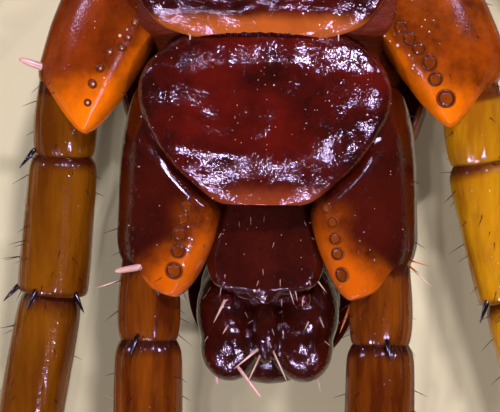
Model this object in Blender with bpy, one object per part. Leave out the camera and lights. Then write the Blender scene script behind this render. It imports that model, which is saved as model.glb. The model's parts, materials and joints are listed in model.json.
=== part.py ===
"""Brown centipede, a stone centipede of the genus Lithobius, life size, lying on its back.

Run with: blender --background --python part.py
The belly faces up (+Z), the head points along +Y and the back rests on the floor at z = 0.
The origin is on the floor, under the line where body segments 7 and 8 meet.
Every size in the functions below is in millimetres, and each finished node is scaled to metres.
"""

import math
import random

import bmesh
import bpy
from mathutils import Matrix, Vector

# Units, gap and seed.
MM = 0.001
GAP = 0.10  # parting gap between nodes: 0.3 mm would be half the thickness of a leg at this size
SEED = 15

# Body segments 1 to 15, from the neck to the last pair of legs.
SEGMENT_LENGTHS = (1.20, 1.45, 1.55, 1.60, 1.65, 1.70, 1.75, 1.75, 1.75, 1.75, 1.70, 1.65, 1.55, 1.45, 1.31)
TERGITE_LENGTHS = (1.50, 0.80, 2.10, 1.00, 2.30, 1.10, 2.40, 2.30, 1.15, 2.40, 1.15, 2.30, 1.05, 1.80, 0.66)
TERGITE_HALF_WIDTHS = (1.5, 1.5, 1.65, 1.65, 1.8, 1.8, 1.9, 1.95, 1.9, 1.95, 1.85, 1.8, 1.65, 1.45, 1.05)
STERNITE_HALF_WIDTHS = (0.8, 0.92, 1.0, 1.06, 1.1, 1.14, 1.18, 1.2, 1.2, 1.2, 1.19, 1.17, 1.16, 1.14, 0.99)
HEIGHTS = (1.58, 1.68, 1.76, 1.82, 1.87, 1.90, 1.92, 1.93, 1.92, 1.90, 1.86, 1.80, 1.72, 1.62, 1.46)
SEGMENTS = len(SEGMENT_LENGTHS)
SHORT_TERGITES = (2, 4, 6, 9, 11, 13, 15)
POINTED_TERGITES = (9, 11, 13)  # rear corners drawn out into teeth
TERGITE_TOOTH = 0.22
SHORT_TERGITE_LIFT = 0.04  # short back plates stay just off the floor
LAST_LONG_TERGITE_TAPER = 0.20  # the fourteenth narrows towards its rear edge
STERNITE_OVERLAP = 0.12  # each belly plate's rear edge reaches over the next one
NECK_BEND_DEG = 6.0  # the front of the body curves gently to one side

# Legs. Lengths are of leg pairs 1 and 12, between which they grow evenly, and of the last three pairs.
LEG_FIRST_LENGTH = 3.9
LEG_TWELFTH_LENGTH = 6.1
LEG_REAR_LENGTHS = {13: 6.9, 14: 8.1, 15: 9.5}
ARTICLE_SHARES = (0.075, 0.205, 0.205, 0.215, 0.165, 0.10, 0.035)
REAR_ARTICLE_SHARES = (0.045, 0.135, 0.220, 0.250, 0.188, 0.122, 0.040)
ARTICLE_RADII = (0.25, 0.27, 0.255, 0.24, 0.19, 0.135, 0.05)
JOINT_PINCH = 0.74
LEG_SIDES = 6
REAR_LEG_SIDES = 8
REAR_LEGS = (14, 15)
REAR_THICKNESS = {13: 1.05, 14: 1.12, 15: 1.10}
LEG_14_OUTWARD = 0.10

# Head, feelers and fangs.
SOCKET_GAP = 0.06
ANTENNA_ARTICLES = 38
ANTENNA_ROOT_RADIUS = 0.29
ANTENNA_TIP_RADIUS = 0.13
ANTENNA_SIDES = 6

# Colours of the horny skin, linear RGB.
CHESTNUT = (0.115, 0.022, 0.007, 1.0)
AMBER = (0.36, 0.105, 0.015, 1.0)
BLACK = (0.012, 0.008, 0.007, 1.0)


def clear_scene():
    for obj in list(bpy.data.objects):
        bpy.data.objects.remove(obj)


def material(name, colour, roughness=0.25):
    made = bpy.data.materials.get(name)
    if made is None:
        made = bpy.data.materials.new(name)
        made.use_nodes = True
        shader = made.node_tree.nodes["Principled BSDF"]
        shader.inputs["Base Color"].default_value = colour
        shader.inputs["Roughness"].default_value = roughness
        shader.inputs["Metallic"].default_value = 0.0
        made.diffuse_color = colour
    return made


def lerp(a, b, t):
    return a + (b - a) * t


def smooth(t):
    t = min(1.0, max(0.0, t))
    return t * t * (3.0 - 2.0 * t)


def lofted(rings, laddered=False):
    """A closed mesh through rings of points, all with the same count.

    A laddered one has mirrored rings that start and end on the middle plane, and its ends
    are closed by level rungs from side to side, so an end may step forward and back.
    """
    mesh = bmesh.new()
    rows = [[mesh.verts.new(point) for point in ring] for ring in rings]
    count = len(rows[0])
    for near, far in zip(rows, rows[1:]):
        for k in range(count):
            after = (k + 1) % count
            mesh.faces.new((near[k], near[after], far[after], far[k]))
    for row in (rows[0], rows[-1]):
        if laddered:
            mesh.faces.new((row[0], row[1], row[-1]))
            for k in range(1, count // 2 - 1):
                mesh.faces.new((row[k], row[k + 1], row[count - k - 1], row[count - k]))
            mesh.faces.new((row[count // 2 - 1], row[count // 2], row[count // 2 + 1]))
        else:
            mesh.faces.new(row)
    bmesh.ops.recalc_face_normals(mesh, faces=mesh.faces)
    return mesh


def mirrored(half):
    """A ring from its right half, which runs from the middle below to the middle above."""
    right = [Vector(point) for point in half]
    left = [Vector((-x, y, z)) for x, y, z in half[-2:0:-1]]
    return right + left


def ellipse(centre, across, up, radius, height, sides):
    """A ring of points round a centre, in the plane of two unit vectors."""
    points = []
    for k in range(sides):
        turn = 2.0 * math.pi * (k + 0.5) / sides
        points.append(centre + across * radius * math.cos(turn) + up * height * math.sin(turn))
    return points


def object_of(mesh, name):
    data = bpy.data.meshes.new(name)
    bmesh.ops.triangulate(mesh, faces=mesh.faces)
    if mesh.calc_volume(signed=True) < 0:
        bmesh.ops.reverse_faces(mesh, faces=mesh.faces)
    mesh.to_mesh(data)
    mesh.free()
    obj = bpy.data.objects.new(name, data)
    bpy.context.scene.collection.objects.link(obj)
    return obj


def largest_surface(data):
    """Deletes all but the closed surface with the most faces."""
    mesh = bmesh.new()
    mesh.from_mesh(data)
    left, groups = set(mesh.verts), []
    while left:
        group, edge = set(), [left.pop()]
        while edge:
            point = edge.pop()
            group.add(point)
            for link in point.link_edges:
                other = link.other_vert(point)
                if other in left:
                    left.discard(other)
                    edge.append(other)
        groups.append(group)
    keep = max(groups, key=len)
    bmesh.ops.delete(mesh, geom=[v for v in mesh.verts if v not in keep], context="VERTS")
    mesh.to_mesh(data)
    mesh.free()


def joined(body, pieces, operation="UNION", solver="EXACT"):
    """Applies one Boolean of all the pieces to the body, and removes them."""
    group = bpy.data.collections.new("pieces")
    bpy.context.scene.collection.children.link(group)
    for piece in pieces:
        bpy.context.scene.collection.objects.unlink(piece)
        group.objects.link(piece)
    cut = body.modifiers.new("join", "BOOLEAN")
    cut.operation = operation
    cut.operand_type = "COLLECTION"
    cut.collection = group
    cut.solver = solver
    graph = bpy.context.evaluated_depsgraph_get()
    data = bpy.data.meshes.new_from_object(body.evaluated_get(graph))
    body.modifiers.clear()
    body.data = data
    for piece in pieces:
        bpy.data.objects.remove(piece)
    bpy.data.collections.remove(group)
    largest_surface(data)
    return body


def finish(obj, collection, place, finish_material):
    """Scales a piece from millimetres to metres, puts it in its place and gives it its finish."""
    obj.data.transform(Matrix.Scale(MM, 4))
    obj.data.materials.clear()
    obj.data.materials.append(finish_material)
    obj.data.shade_smooth()
    obj.data.set_sharp_from_angle(angle=math.radians(40.0))
    obj.location = place.to_translation() * MM
    obj.rotation_euler = place.to_euler()
    bpy.context.scene.collection.objects.unlink(obj)
    collection.objects.link(obj)
    return obj


def heading(number):
    """The direction of a segment in radians: straight from the seventh back, a slow curve to the neck."""
    if number >= 7:
        return 0.0
    return math.radians(NECK_BEND_DEG) * math.sin(math.pi * (7 - number) / 8.0)


def segment_places():
    """The frame of each segment, at the middle of its rear edge on the floor, and 0 for the head."""
    places = {7: Matrix.Identity(4)}
    y = 0.0
    for number in range(8, SEGMENTS + 1):
        y -= SEGMENT_LENGTHS[number - 1]
        places[number] = Matrix.Translation((0.0, y, 0.0))
    for number in range(6, -1, -1):
        behind = places[number + 1]
        front = behind @ Vector((0.0, SEGMENT_LENGTHS[number], 0.0))
        places[number] = Matrix.Translation(front) @ Matrix.Rotation(heading(number), 4, "Z")
    return places


def tergite_offset(number):
    """How far ahead of a belly plate's rear edge the matching back plate ends."""
    return sum(SEGMENT_LENGTHS[:number]) - sum(TERGITE_LENGTHS[:number])


def boundary(number, k):
    """Where the joint behind a segment lies along Y at profile point k, from the belly plate's rear edge."""
    back = tergite_offset(number) if number > 0 else 0.0
    if k <= 4:
        tooth = TERGITE_TOOTH if number in POINTED_TERGITES and k >= 3 else 0.0
        return back - tooth
    if k == 5:
        return 0.6 * back
    if k in (6, 7):
        return 0.0
    return -STERNITE_OVERLAP if number > 0 else 0.0


def sternite_share(f, rear):
    """The half-width of a belly plate as a share of its widest, at share f of the way forward."""
    widest = 0.56
    if f < widest:
        return rear + (1.0 - rear) * math.sin(0.5 * math.pi * f / widest) ** 0.85
    return 1.0 - 0.32 * ((f - widest) / (1.0 - widest)) ** 2


def height_at(number, f):
    """The body's height at share f of a segment: the mean of two neighbours' where they meet."""
    own = HEIGHTS[number - 1]
    ahead = HEIGHTS[max(0, number - 2)]
    behind = HEIGHTS[min(SEGMENTS - 1, number)]
    meets = 0.5 * (own + (ahead if f > 0.5 else behind))
    return lerp(own, meets, smooth(abs(2.0 * f - 1.0)))


def profile(number, f):
    """Half of the outline at share f of a segment, from the middle of the back to that of the belly."""
    width, height = TERGITE_HALF_WIDTHS[number - 1], height_at(number, f)
    rear = 0.46 if number >= 14 else 0.64
    plate = STERNITE_HALF_WIDTHS[number - 1] * sternite_share(f, rear)
    low = SHORT_TERGITE_LIFT if number in SHORT_TERGITES else 0.0
    wide = width * (1.0 - 0.06 * smooth((f - 0.5) / 0.5) - 0.03 * smooth((0.12 - f) / 0.12))
    if number == 14:
        wide *= 1.0 - LAST_LONG_TERGITE_TAPER * (1.0 - f) ** 1.5
    dip = 0.035 * height * smooth((f - 0.7) / 0.3) + 0.015 * height * smooth((0.1 - f) / 0.1)
    pleura = min(0.80 * width, width - 0.16)
    return (
        (0.0, low),
        (0.44 * wide, low),
        (0.80 * wide, low + 0.06 * height),
        (0.97 * wide, 0.16 * height),
        (1.00 * wide, 0.25 * height),
        (0.90 * wide, 0.36 * height),
        (pleura, 0.58 * height),
        (lerp(plate, pleura, 0.55), 0.82 * height - dip),
        (plate, 0.94 * height - dip),
        (0.55 * plate, 0.995 * height - dip),
        (0.0, 1.01 * height - dip),
    )


def trunk(number):
    """The back plate, sides and belly plate of one segment as one closed loft."""
    length = SEGMENT_LENGTHS[number - 1]
    rings = []
    for f in (1.0, 0.86, 0.62, 0.36, 0.14, 0.0):
        half = []
        for k, (x, z) in enumerate(profile(number, f)):
            rear = boundary(number, k) + 0.5 * GAP
            front = length + boundary(number - 1, k) - 0.5 * GAP
            half.append((x, lerp(rear, front, f), z))
        rings.append(mirrored(half))
    return lofted(rings, laddered=True)


def leg_azimuth(number):
    """The angle of a leg's first long article behind the straight sideways line, in degrees."""
    return {13: 57.0, 14: 86.0, 15: 90.0}.get(number, lerp(-34.0, 38.0, (number - 1) / 11.0))


def coxa_stations(number):
    """Centre, half-length, half-height and slant of a hip plate's sections, from the body to the leg."""
    length = SEGMENT_LENGTHS[number - 1]
    width, height = TERGITE_HALF_WIDTHS[number - 1], HEIGHTS[number - 1]
    if number == 15:
        return (
            ((0.70, 0.74, 0.95), 0.34, 0.30, 0.0),
            ((0.84, 0.32, 0.95), 0.41, 0.42, 0.05),
            ((0.84, -0.05, 0.98), 0.43, 0.40, 0.12),
            ((0.87, -0.36, 0.99), 0.41, 0.35, 0.22),
            ((0.91, -0.54, 0.98), 0.33, 0.26, 0.19),
        )
    if number == 14:
        return (
            ((0.92, 0.66, 0.88), 0.44, 0.42, 0.0),
            ((1.18, 0.22, 0.92), 0.47, 0.44, 0.05),
            ((1.34, -0.12, 0.92), 0.45, 0.40, 0.10),
            ((1.45, -0.38, 0.90), 0.38, 0.34, 0.12),
            ((1.50, -0.52, 0.88), 0.30, 0.27, 0.12),
        )
    reach = width + (0.24 if number < 13 else 0.14)
    back = lerp(0.50, 0.30, number / 13.0) * length
    return (
        ((0.56 * width, 0.52 * length, 0.60 * height), 0.50, 0.36, 0.0),
        ((0.80 * width, 0.50 * length, 0.64 * height), 0.47, 0.37, 0.0),
        ((reach - 0.16, lerp(0.48 * length, back, 0.7), 0.62 * height), 0.40, 0.34, 0.0),
        ((reach, back, 0.60 * height), 0.31, 0.28, 0.0),
    )


def direction(azimuth, elevation, side):
    a, e = math.radians(azimuth), math.radians(elevation)
    return Vector((side * math.cos(a) * math.cos(e), -math.sin(a) * math.cos(e), math.sin(e)))


def coxa(number, side):
    """The hip plate that carries a leg, as a flattened lobe drawn back and out."""
    stations = coxa_stations(number)
    along = direction(leg_azimuth(number), 0.0, 1.0)
    across = Vector((-along.y, along.x, 0.0))
    rings = []
    for centre, half, height, slant in stations:
        ring = []
        for k in range(10):
            turn = 2.0 * math.pi * (k + 0.5) / 10
            u, v = math.cos(turn), math.sin(turn)
            point = Vector(centre) + across * half * u + Vector((0.0, 0.0, height * v))
            point += along * (-slant * u)
            ring.append(Vector((side * point.x, point.y, point.z)))
        rings.append(ring)
    return lofted(rings)


def leg_length(number):
    if number in LEG_REAR_LENGTHS:
        return LEG_REAR_LENGTHS[number]
    return lerp(LEG_FIRST_LENGTH, LEG_TWELFTH_LENGTH, (number - 1) / 11.0)


def leg_root(number, side):
    """The middle of the leg's first section, a gap beyond the hip plate's end, in the segment's frame."""
    centre, half, _, slant = coxa_stations(number)[-1]
    root = Vector(centre) + direction(leg_azimuth(number), 0.0, 1.0) * 1.15 * GAP
    if number == 14:
        root += Vector((LEG_14_OUTWARD, LEG_14_OUTWARD * slant / half, 0.0))
    return Vector((side * root.x, root.y, root.z))


def leg_root_ring(number, side, radius, sides):
    """The leg's first section, slanted as the hip plate's end is, so that the two meet face to face."""
    _, half, _, slant = coxa_stations(number)[-1]
    root = leg_root(number, side)
    along = direction(leg_azimuth(number), 0.0, side)
    across = along.cross(Vector((0.0, 0.0, 1.0)))
    points = ellipse(root, across, across.cross(along), radius, radius, sides)
    return [p + along * slant * side * (p - root).dot(across) / half for p in points]


def leg_joints(number, side):
    """The leg's joints from the hip to the claw's tip, in the segment's frame."""
    draw = random.Random(SEED + 31 * number + side)
    azimuth = leg_azimuth(number)
    if number == 15:
        turns = (0.0, 0.0, 1.5, 4.0, 4.0, 2.0, 2.0)
        slopes = (-2.0, -3.0, -4.0, 2.0, 4.0, 6.0, 4.0)
    elif number == 14:
        turns = (2.0, -1.0, -6.0, -9.0, -6.0, -2.0, 2.0)
        if side > 0:
            turns = (-4.0, -11.0, -13.0, -13.0, -9.0, -5.0, 0.0)
        slopes = (-6.0, -6.0, -5.0, 3.0, 6.0, 8.0, 6.0)
    else:
        turns = (0.0, 2.0, 10.0, 19.0, 27.0, 34.0, 40.0)
        slopes = (-10.0, -24.0, -9.0, 6.0, 14.0, 14.0, 10.0)
    wobble = 0.0 if number >= 14 else draw.uniform(-4.0, 4.0)
    lift = 0.0 if number >= 14 else draw.uniform(-3.0, 3.0)
    joints = [leg_root(number, side)]
    shares = REAR_ARTICLE_SHARES if number in REAR_LEGS else ARTICLE_SHARES
    for share, turn, slope in zip(shares, turns, slopes):
        step = direction(azimuth + turn + wobble, slope + lift, side)
        joints.append(joints[-1] + step * share * leg_length(number))
    return joints


def leg(number, side):
    """All the articles of one leg and its claw, with a waist at each joint, as one closed loft."""
    joints = leg_joints(number, side)
    thick = REAR_THICKNESS.get(number, 1.0)
    sides = REAR_LEG_SIDES if number in REAR_LEGS else LEG_SIDES
    margin = 0.11

    def section(centre, along, radius):
        across = along.cross(Vector((0.0, 0.0, 1.0))).normalized()
        return ellipse(centre, across, across.cross(along), radius, radius, sides)

    steps = [(b - a).normalized() for a, b in zip(joints, joints[1:])]
    rings = [leg_root_ring(number, side, 0.86 * ARTICLE_RADII[0] * thick, sides)]
    rings.append(section(joints[0].lerp(joints[1], 0.6), steps[0], ARTICLE_RADII[0] * thick))
    for k in range(1, len(steps)):
        radius = ARTICLE_RADII[k] * thick
        before = ARTICLE_RADII[k - 1] * thick
        mean = (steps[k - 1] + steps[k]).normalized()
        rings.append(section(joints[k], mean, JOINT_PINCH * min(radius, before)))
        if k == len(steps) - 1:
            break
        if k < 4:
            rings.append(section(joints[k] + steps[k] * margin, steps[k], 0.92 * radius))
        narrowing = 1.0 if k < 4 else 0.86
        rings.append(section(joints[k + 1] - steps[k] * margin, steps[k], narrowing * radius))
    tip = steps[-1] + Vector((0.0, 0.0, 0.4))
    rings.append(section(joints[-1], tip.normalized(), 0.02))
    return lofted(rings)


def cone(base, tip, radius, sides=4):
    """A tapered spine from a sunk root to its point."""
    along = (tip - base).normalized()
    across = along.orthogonal().normalized()
    up = along.cross(across)
    wide = ellipse(base, across, up, radius, radius, sides)
    return lofted([wide, ellipse(tip, across, up, 0.012, 0.012, sides)])


def leg_spurs(number, side):
    """The stout spurs round the far end of each long article of a rear leg."""
    joints = leg_joints(number, side)
    spurs = []
    for k, angles in ((1, (90,)), (2, (40, 90, 140, -60, -120)), (3, (50, 130, -90)), (4, (90,))):
        along = (joints[k] - joints[k - 1]).normalized()
        across = along.cross(Vector((0.0, 0.0, 1.0))).normalized()
        up = across.cross(along)
        radius = ARTICLE_RADII[k - 1]
        for angle in angles:
            out = across * math.cos(math.radians(angle)) + up * math.sin(math.radians(angle))
            base = joints[k] - along * 0.16 + out * 0.45 * radius
            tip = joints[k] + along * 0.12 + out * 1.35 * radius
            spurs.append(object_of(cone(base, tip, 0.05), "spur"))
    return spurs


def head():
    """The flat, round head shield, with its underside a little raised."""
    rings = []
    for y, width, low, high in (
        (0.16, 0.70, 0.06, 0.62),
        (0.50, 1.30, 0.02, 0.84),
        (1.10, 1.58, 0.00, 0.94),
        (1.75, 1.62, 0.00, 0.98),
        (2.35, 1.44, 0.02, 0.96),
        (2.85, 1.08, 0.08, 0.90),
        (3.12, 0.72, 0.18, 0.78),
        (3.24, 0.40, 0.28, 0.64),
    ):
        rings.append(mirrored([
            (0.0, y, low),
            (0.46 * width, y, low),
            (0.82 * width, y, low + 0.07),
            (1.0 * width, y, low + 0.24),
            (0.97 * width, y, lerp(low, high, 0.58)),
            (0.80 * width, y, lerp(low, high, 0.88)),
            (0.46 * width, y, high),
            (0.0, y, high),
        ]))
    return lofted(rings, laddered=True)


def forcipular_segment():
    """The plate under the head that carries the fangs, with its toothed front edge."""
    rings = []
    for y, width, low, high in (
        (0.06, 0.80, 1.06, 1.52),
        (0.30, 1.02, 1.06, 1.66),
        (0.80, 1.06, 1.08, 1.74),
        (1.30, 0.82, 1.08, 1.72),
        (1.70, 0.56, 1.10, 1.64),
        (1.84, 0.46, 1.16, 1.54),
    ):
        rings.append(mirrored([
            (0.0, y, low),
            (0.8 * width, y, low + 0.03),
            (1.0 * width, y, lerp(low, high, 0.35)),
            (0.97 * width, y, lerp(low, high, 0.65)),
            (0.75 * width, y, lerp(low, high, 0.92)),
            (0.30 * width, y, high),
            (0.0, y, high - 0.04),
        ]))
    return lofted(rings, laddered=True)


def forcipular_teeth():
    """Five blunt teeth on each side of the front edge."""
    teeth = []
    for side in (-1, 1):
        for k in range(5):
            x = side * (0.07 + 0.085 * k)
            base, tip = Vector((x, 1.74, 1.46)), Vector((1.05 * x, 1.96, 1.47))
            teeth.append(object_of(cone(base, tip, 0.045), "tooth"))
    return teeth


def curved_tube(points, radii, sides, flatten=1.0):
    """A tapered loft along a smooth line."""
    rings = []
    for k, (point, radius) in enumerate(zip(points, radii)):
        before, after = points[max(0, k - 1)], points[min(len(points) - 1, k + 1)]
        along = (after - before).normalized()
        across = along.cross(Vector((0.0, 0.0, 1.0))).normalized()
        rings.append(ellipse(point, across, across.cross(along), radius, radius * flatten, sides))
    return lofted(rings)


def bezier(a, b, c, d, t):
    u = 1.0 - t
    return a * u * u * u + b * 3 * u * u * t + c * 3 * u * t * t + d * t * t * t


def forcipule(side):
    """One poison fang: a stout base that swings out and a sickle that closes on the middle."""
    line = ((1.22, 0.66, 1.40), (1.86, 1.72, 1.46), (1.20, 2.66, 1.58), (0.12, 2.58, 1.54))
    line = [Vector((side * x, y, z)) for x, y, z in line]
    steps = 9
    points = [bezier(*line, k / steps) for k in range(steps + 1)]
    radii = (0.30, 0.36, 0.37, 0.35, 0.32, 0.27, 0.21, 0.15, 0.09, 0.025)
    return curved_tube(points, radii, 8, 0.85)


def mouthparts():
    """The palps and jaws that show between the fangs."""
    rings = []
    for y, width, low, high in (
        (1.96, 0.40, 1.06, 1.22),
        (2.20, 0.50, 1.05, 1.24),
        (2.48, 0.38, 1.05, 1.20),
        (2.64, 0.18, 1.06, 1.14),
    ):
        across, up = Vector((1.0, 0.0, 0.0)), Vector((0.0, 0.0, 1.0))
        middle = Vector((0.0, y, 0.5 * (low + high)))
        rings.append(ellipse(middle, across, up, width, 0.5 * (high - low), 10))
    return lofted(rings)


def eye_place(side):
    """The middle of an eye field and its outward direction, in the head's frame."""
    return Vector((side * 1.30, 2.36, 0.44)), Vector((side * 0.93, 0.36, -0.05)).normalized()


def eye(side, grow=0.0):
    """An oval field of single eyes, raised as small domes."""
    centre, out = eye_place(side)
    across = out.cross(Vector((0.0, 0.0, 1.0))).normalized()
    up = across.cross(out)
    turn = Matrix((across, up, out)).transposed().to_4x4()
    field = bmesh.new()
    bmesh.ops.create_uvsphere(field, u_segments=9, v_segments=5, radius=1.0)
    shape = Matrix.Diagonal((0.30 + grow, 0.19 + grow, 0.11 + grow, 1.0))
    bmesh.ops.transform(field, matrix=Matrix.Translation(centre) @ turn @ shape, verts=field.verts)
    return field


def eye_domes(side):
    centre, out = eye_place(side)
    across = out.cross(Vector((0.0, 0.0, 1.0))).normalized()
    up = across.cross(out)
    domes = []
    for row, count in ((-0.09, 2), (0.0, 4), (0.09, 3)):
        for k in range(count):
            u = 0.105 * (k - 0.5 * (count - 1))
            dome = bmesh.new()
            bmesh.ops.create_icosphere(dome, subdivisions=1, radius=0.052)
            sink = 0.105 * math.sqrt(max(0.0, 1.0 - (u / 0.30) ** 2 - (row / 0.19) ** 2))
            spot = centre + across * u + up * row + out * sink
            bmesh.ops.translate(dome, vec=spot, verts=dome.verts)
            domes.append(object_of(dome, "dome"))
    return domes


def antenna(side):
    """A feeler of many short articles, thick at the root and fine at the tip."""
    root = Vector((side * 0.62, 3.30, 0.52))
    if side > 0:
        line = (root, Vector((1.9, 8.0, 0.95)), Vector((5.6, 11.6, 0.75)), Vector((7.6, 15.0, 0.32)))
    else:
        line = (root, Vector((-1.4, 7.6, 1.00)), Vector((-4.8, 12.4, 0.70)), Vector((-5.0, 16.6, 0.30)))
    fine = [bezier(*line, k / 400) for k in range(401)]
    lengths = [0.0]
    for a, b in zip(fine, fine[1:]):
        lengths.append(lengths[-1] + (b - a).length)

    def at(share):
        wanted = share * lengths[-1]
        k = min(range(len(lengths)), key=lambda n: abs(lengths[n] - wanted))
        return fine[k]

    points, radii = [], []
    for k in range(ANTENNA_ARTICLES):
        share = k / ANTENNA_ARTICLES
        radius = lerp(ANTENNA_ROOT_RADIUS, ANTENNA_TIP_RADIUS, share ** 0.8)
        points += [at(share), at(share + 0.62 / ANTENNA_ARTICLES)]
        radii += [0.80 * radius, radius]
    points.append(at(1.0))
    radii.append(0.35 * ANTENNA_TIP_RADIUS)
    return curved_tube(points, radii, ANTENNA_SIDES)


def terminal():
    """The two small segments behind the last legs: the sexual plates above and the last back plate below."""
    rings = []
    rear_back = boundary(15, 0)
    for y, width, low, high in (
        (-0.12, 0.43, 0.10, 1.10),
        (-0.40, 0.47, 0.10, 1.08),
        (-0.72, 0.54, 0.12, 1.00),
        (-0.95, 0.56, 0.14, 0.90),
        (-1.20, 0.47, 0.20, 0.84),
        (-1.42, 0.30, 0.32, 0.72),
    ):
        back = y + min(0.0, rear_back) if y > -0.2 else y
        rings.append(mirrored([
            (0.0, back, low),
            (0.60 * width, back, low + 0.02),
            (0.94 * width, y, lerp(low, high, 0.25)),
            (1.0 * width, y, lerp(low, high, 0.50)),
            (0.92 * width, y, lerp(low, high, 0.74)),
            (0.58 * width, y, lerp(low, high, 0.94)),
            (0.0, y, high),
        ]))
    return lofted(rings, laddered=True)


def terminal_pieces():
    """The last back plate, the gonopods, the middle boss and cone, and the two anal valves."""
    plate = []
    across, up = Vector((1.0, 0.0, 0.0)), Vector((0.0, 0.0, 1.0))
    for y, width, high in ((-0.34, 0.66, 0.26), (-0.62, 0.66, 0.3), (-0.95, 0.6, 0.3), (-1.2, 0.46, 0.24)):
        middle = Vector((0.0, y, 0.5 * (high + 0.05)))
        plate.append(ellipse(middle, across, up, width, 0.5 * (high - 0.05), 10))
    pieces = [object_of(lofted(plate), "last_back_plate")]
    for side in (-1, 1):
        knob = bmesh.new()
        bmesh.ops.create_icosphere(knob, subdivisions=1, radius=0.11)
        bmesh.ops.translate(knob, vec=(side * 0.30, -0.74, 0.92), verts=knob.verts)
        pieces.append(object_of(knob, "gonopod"))
        valve = bmesh.new()
        bmesh.ops.create_uvsphere(valve, u_segments=10, v_segments=7, radius=0.24)
        bmesh.ops.scale(valve, vec=(0.85, 1.15, 1.0), verts=valve.verts)
        bmesh.ops.translate(valve, vec=(side * 0.27, -1.20, 0.66), verts=valve.verts)
        pieces.append(object_of(valve, "anal_valve"))
    boss = bmesh.new()
    bmesh.ops.create_uvsphere(boss, u_segments=8, v_segments=5, radius=0.13)
    bmesh.ops.scale(boss, vec=(1.0, 1.4, 1.0), verts=boss.verts)
    bmesh.ops.translate(boss, vec=(0.0, -0.68, 0.95), verts=boss.verts)
    pieces.append(object_of(boss, "boss"))
    ridge = cone(Vector((0.0, -0.70, 0.86)), Vector((0.0, -1.20, 0.84)), 0.12, 6)
    pieces.append(object_of(ridge, "middle_cone"))
    return pieces


def build():
    clear_scene()
    centipede = bpy.data.collections.new("brown_centipede")
    bpy.context.scene.collection.children.link(centipede)
    chestnut = material("chestnut_cuticle", CHESTNUT)
    amber = material("amber_cuticle", AMBER)
    black = material("eye_black", BLACK, 0.1)
    places = segment_places()

    for number in range(1, SEGMENTS + 1):
        body = object_of(trunk(number), f"segment_{number:02d}")
        hips = [object_of(coxa(number, side), "hip") for side in (-1, 1)]
        finish(joined(body, hips), centipede, places[number], chestnut)
        for side, word in ((-1, "left"), (1, "right")):
            limb = object_of(leg(number, side), f"leg_{number:02d}_{word}")
            if number in REAR_LEGS:
                limb = joined(limb, leg_spurs(number, side), solver="MANIFOLD")
            finish(limb, centipede, places[number], amber)

    front = places[0]
    shield = object_of(head(), "head")
    sockets = [object_of(eye(side, SOCKET_GAP), "socket") for side in (-1, 1)]
    joined(shield, sockets, "DIFFERENCE", "MANIFOLD")
    finish(shield, centipede, front, chestnut)
    fang_base = joined(object_of(forcipular_segment(), "forcipular_segment"), forcipular_teeth())
    finish(fang_base, centipede, front, chestnut)
    finish(object_of(mouthparts(), "mouthparts"), centipede, front, amber)
    for side, word in ((-1, "left"), (1, "right")):
        finish(object_of(forcipule(side), f"forcipule_{word}"), centipede, front, chestnut)
        finish(object_of(antenna(side), f"antenna_{word}"), centipede, front, amber)
        finish(joined(object_of(eye(side), f"eye_{word}"), eye_domes(side)), centipede, front, black)

    tail = joined(object_of(terminal(), "terminal_segments"), terminal_pieces())
    finish(tail, centipede, places[15], chestnut)


build()
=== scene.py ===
"""Looks of the brown centipede, a full-grown stone centipede lying on its back, seen from above its tail.

Sizes are in millimetres, in the frame of the body segment that carries the piece: +Y towards the head,
+Z up out of the belly. Each finished piece is settled in metres, with its object at the origin.
"""

import json
import math
import random

import bpy
import numpy as np
from mathutils import Matrix, Vector
from mathutils.bvhtree import BVHTree

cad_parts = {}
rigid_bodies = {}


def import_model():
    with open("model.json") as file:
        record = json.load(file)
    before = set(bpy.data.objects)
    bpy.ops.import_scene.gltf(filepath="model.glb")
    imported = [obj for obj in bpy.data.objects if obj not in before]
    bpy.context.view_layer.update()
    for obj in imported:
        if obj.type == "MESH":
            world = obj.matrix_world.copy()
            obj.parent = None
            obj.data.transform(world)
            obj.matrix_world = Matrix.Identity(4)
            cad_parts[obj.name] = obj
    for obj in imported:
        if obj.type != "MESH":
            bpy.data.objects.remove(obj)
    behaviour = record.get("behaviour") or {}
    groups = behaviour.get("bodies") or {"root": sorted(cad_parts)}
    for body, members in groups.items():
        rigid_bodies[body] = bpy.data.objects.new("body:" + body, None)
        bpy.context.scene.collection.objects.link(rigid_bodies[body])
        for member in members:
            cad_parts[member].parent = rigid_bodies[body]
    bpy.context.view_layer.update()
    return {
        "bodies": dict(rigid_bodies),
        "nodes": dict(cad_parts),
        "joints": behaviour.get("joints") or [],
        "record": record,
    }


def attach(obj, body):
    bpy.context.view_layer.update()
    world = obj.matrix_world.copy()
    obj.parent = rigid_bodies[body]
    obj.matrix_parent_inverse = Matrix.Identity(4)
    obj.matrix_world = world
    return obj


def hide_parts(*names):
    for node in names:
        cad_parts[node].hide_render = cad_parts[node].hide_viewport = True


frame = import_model()

# Driving dimensions of the animal, in millimetres.
MM = 0.001
SEED = 15
GAP = 0.10
SEGMENT_LENGTHS = (1.20, 1.45, 1.55, 1.60, 1.65, 1.70, 1.75, 1.75, 1.75, 1.75, 1.70, 1.65, 1.55, 1.45, 1.31)
TERGITE_LENGTHS = (1.50, 0.80, 2.10, 1.00, 2.30, 1.10, 2.40, 2.30, 1.15, 2.40, 1.15, 2.30, 1.05, 1.80, 0.66)
TERGITE_HALF_WIDTHS = (1.5, 1.5, 1.65, 1.65, 1.8, 1.8, 1.9, 1.95, 1.9, 1.95, 1.85, 1.8, 1.65, 1.45, 1.05)
STERNITE_HALF_WIDTHS = (0.8, 0.92, 1.0, 1.06, 1.1, 1.14, 1.18, 1.2, 1.2, 1.2, 1.19, 1.17, 1.16, 1.14, 0.99)
HEIGHTS = (1.58, 1.68, 1.76, 1.82, 1.87, 1.90, 1.92, 1.93, 1.92, 1.90, 1.86, 1.80, 1.72, 1.62, 1.46)
SEGMENTS = len(SEGMENT_LENGTHS)
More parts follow.
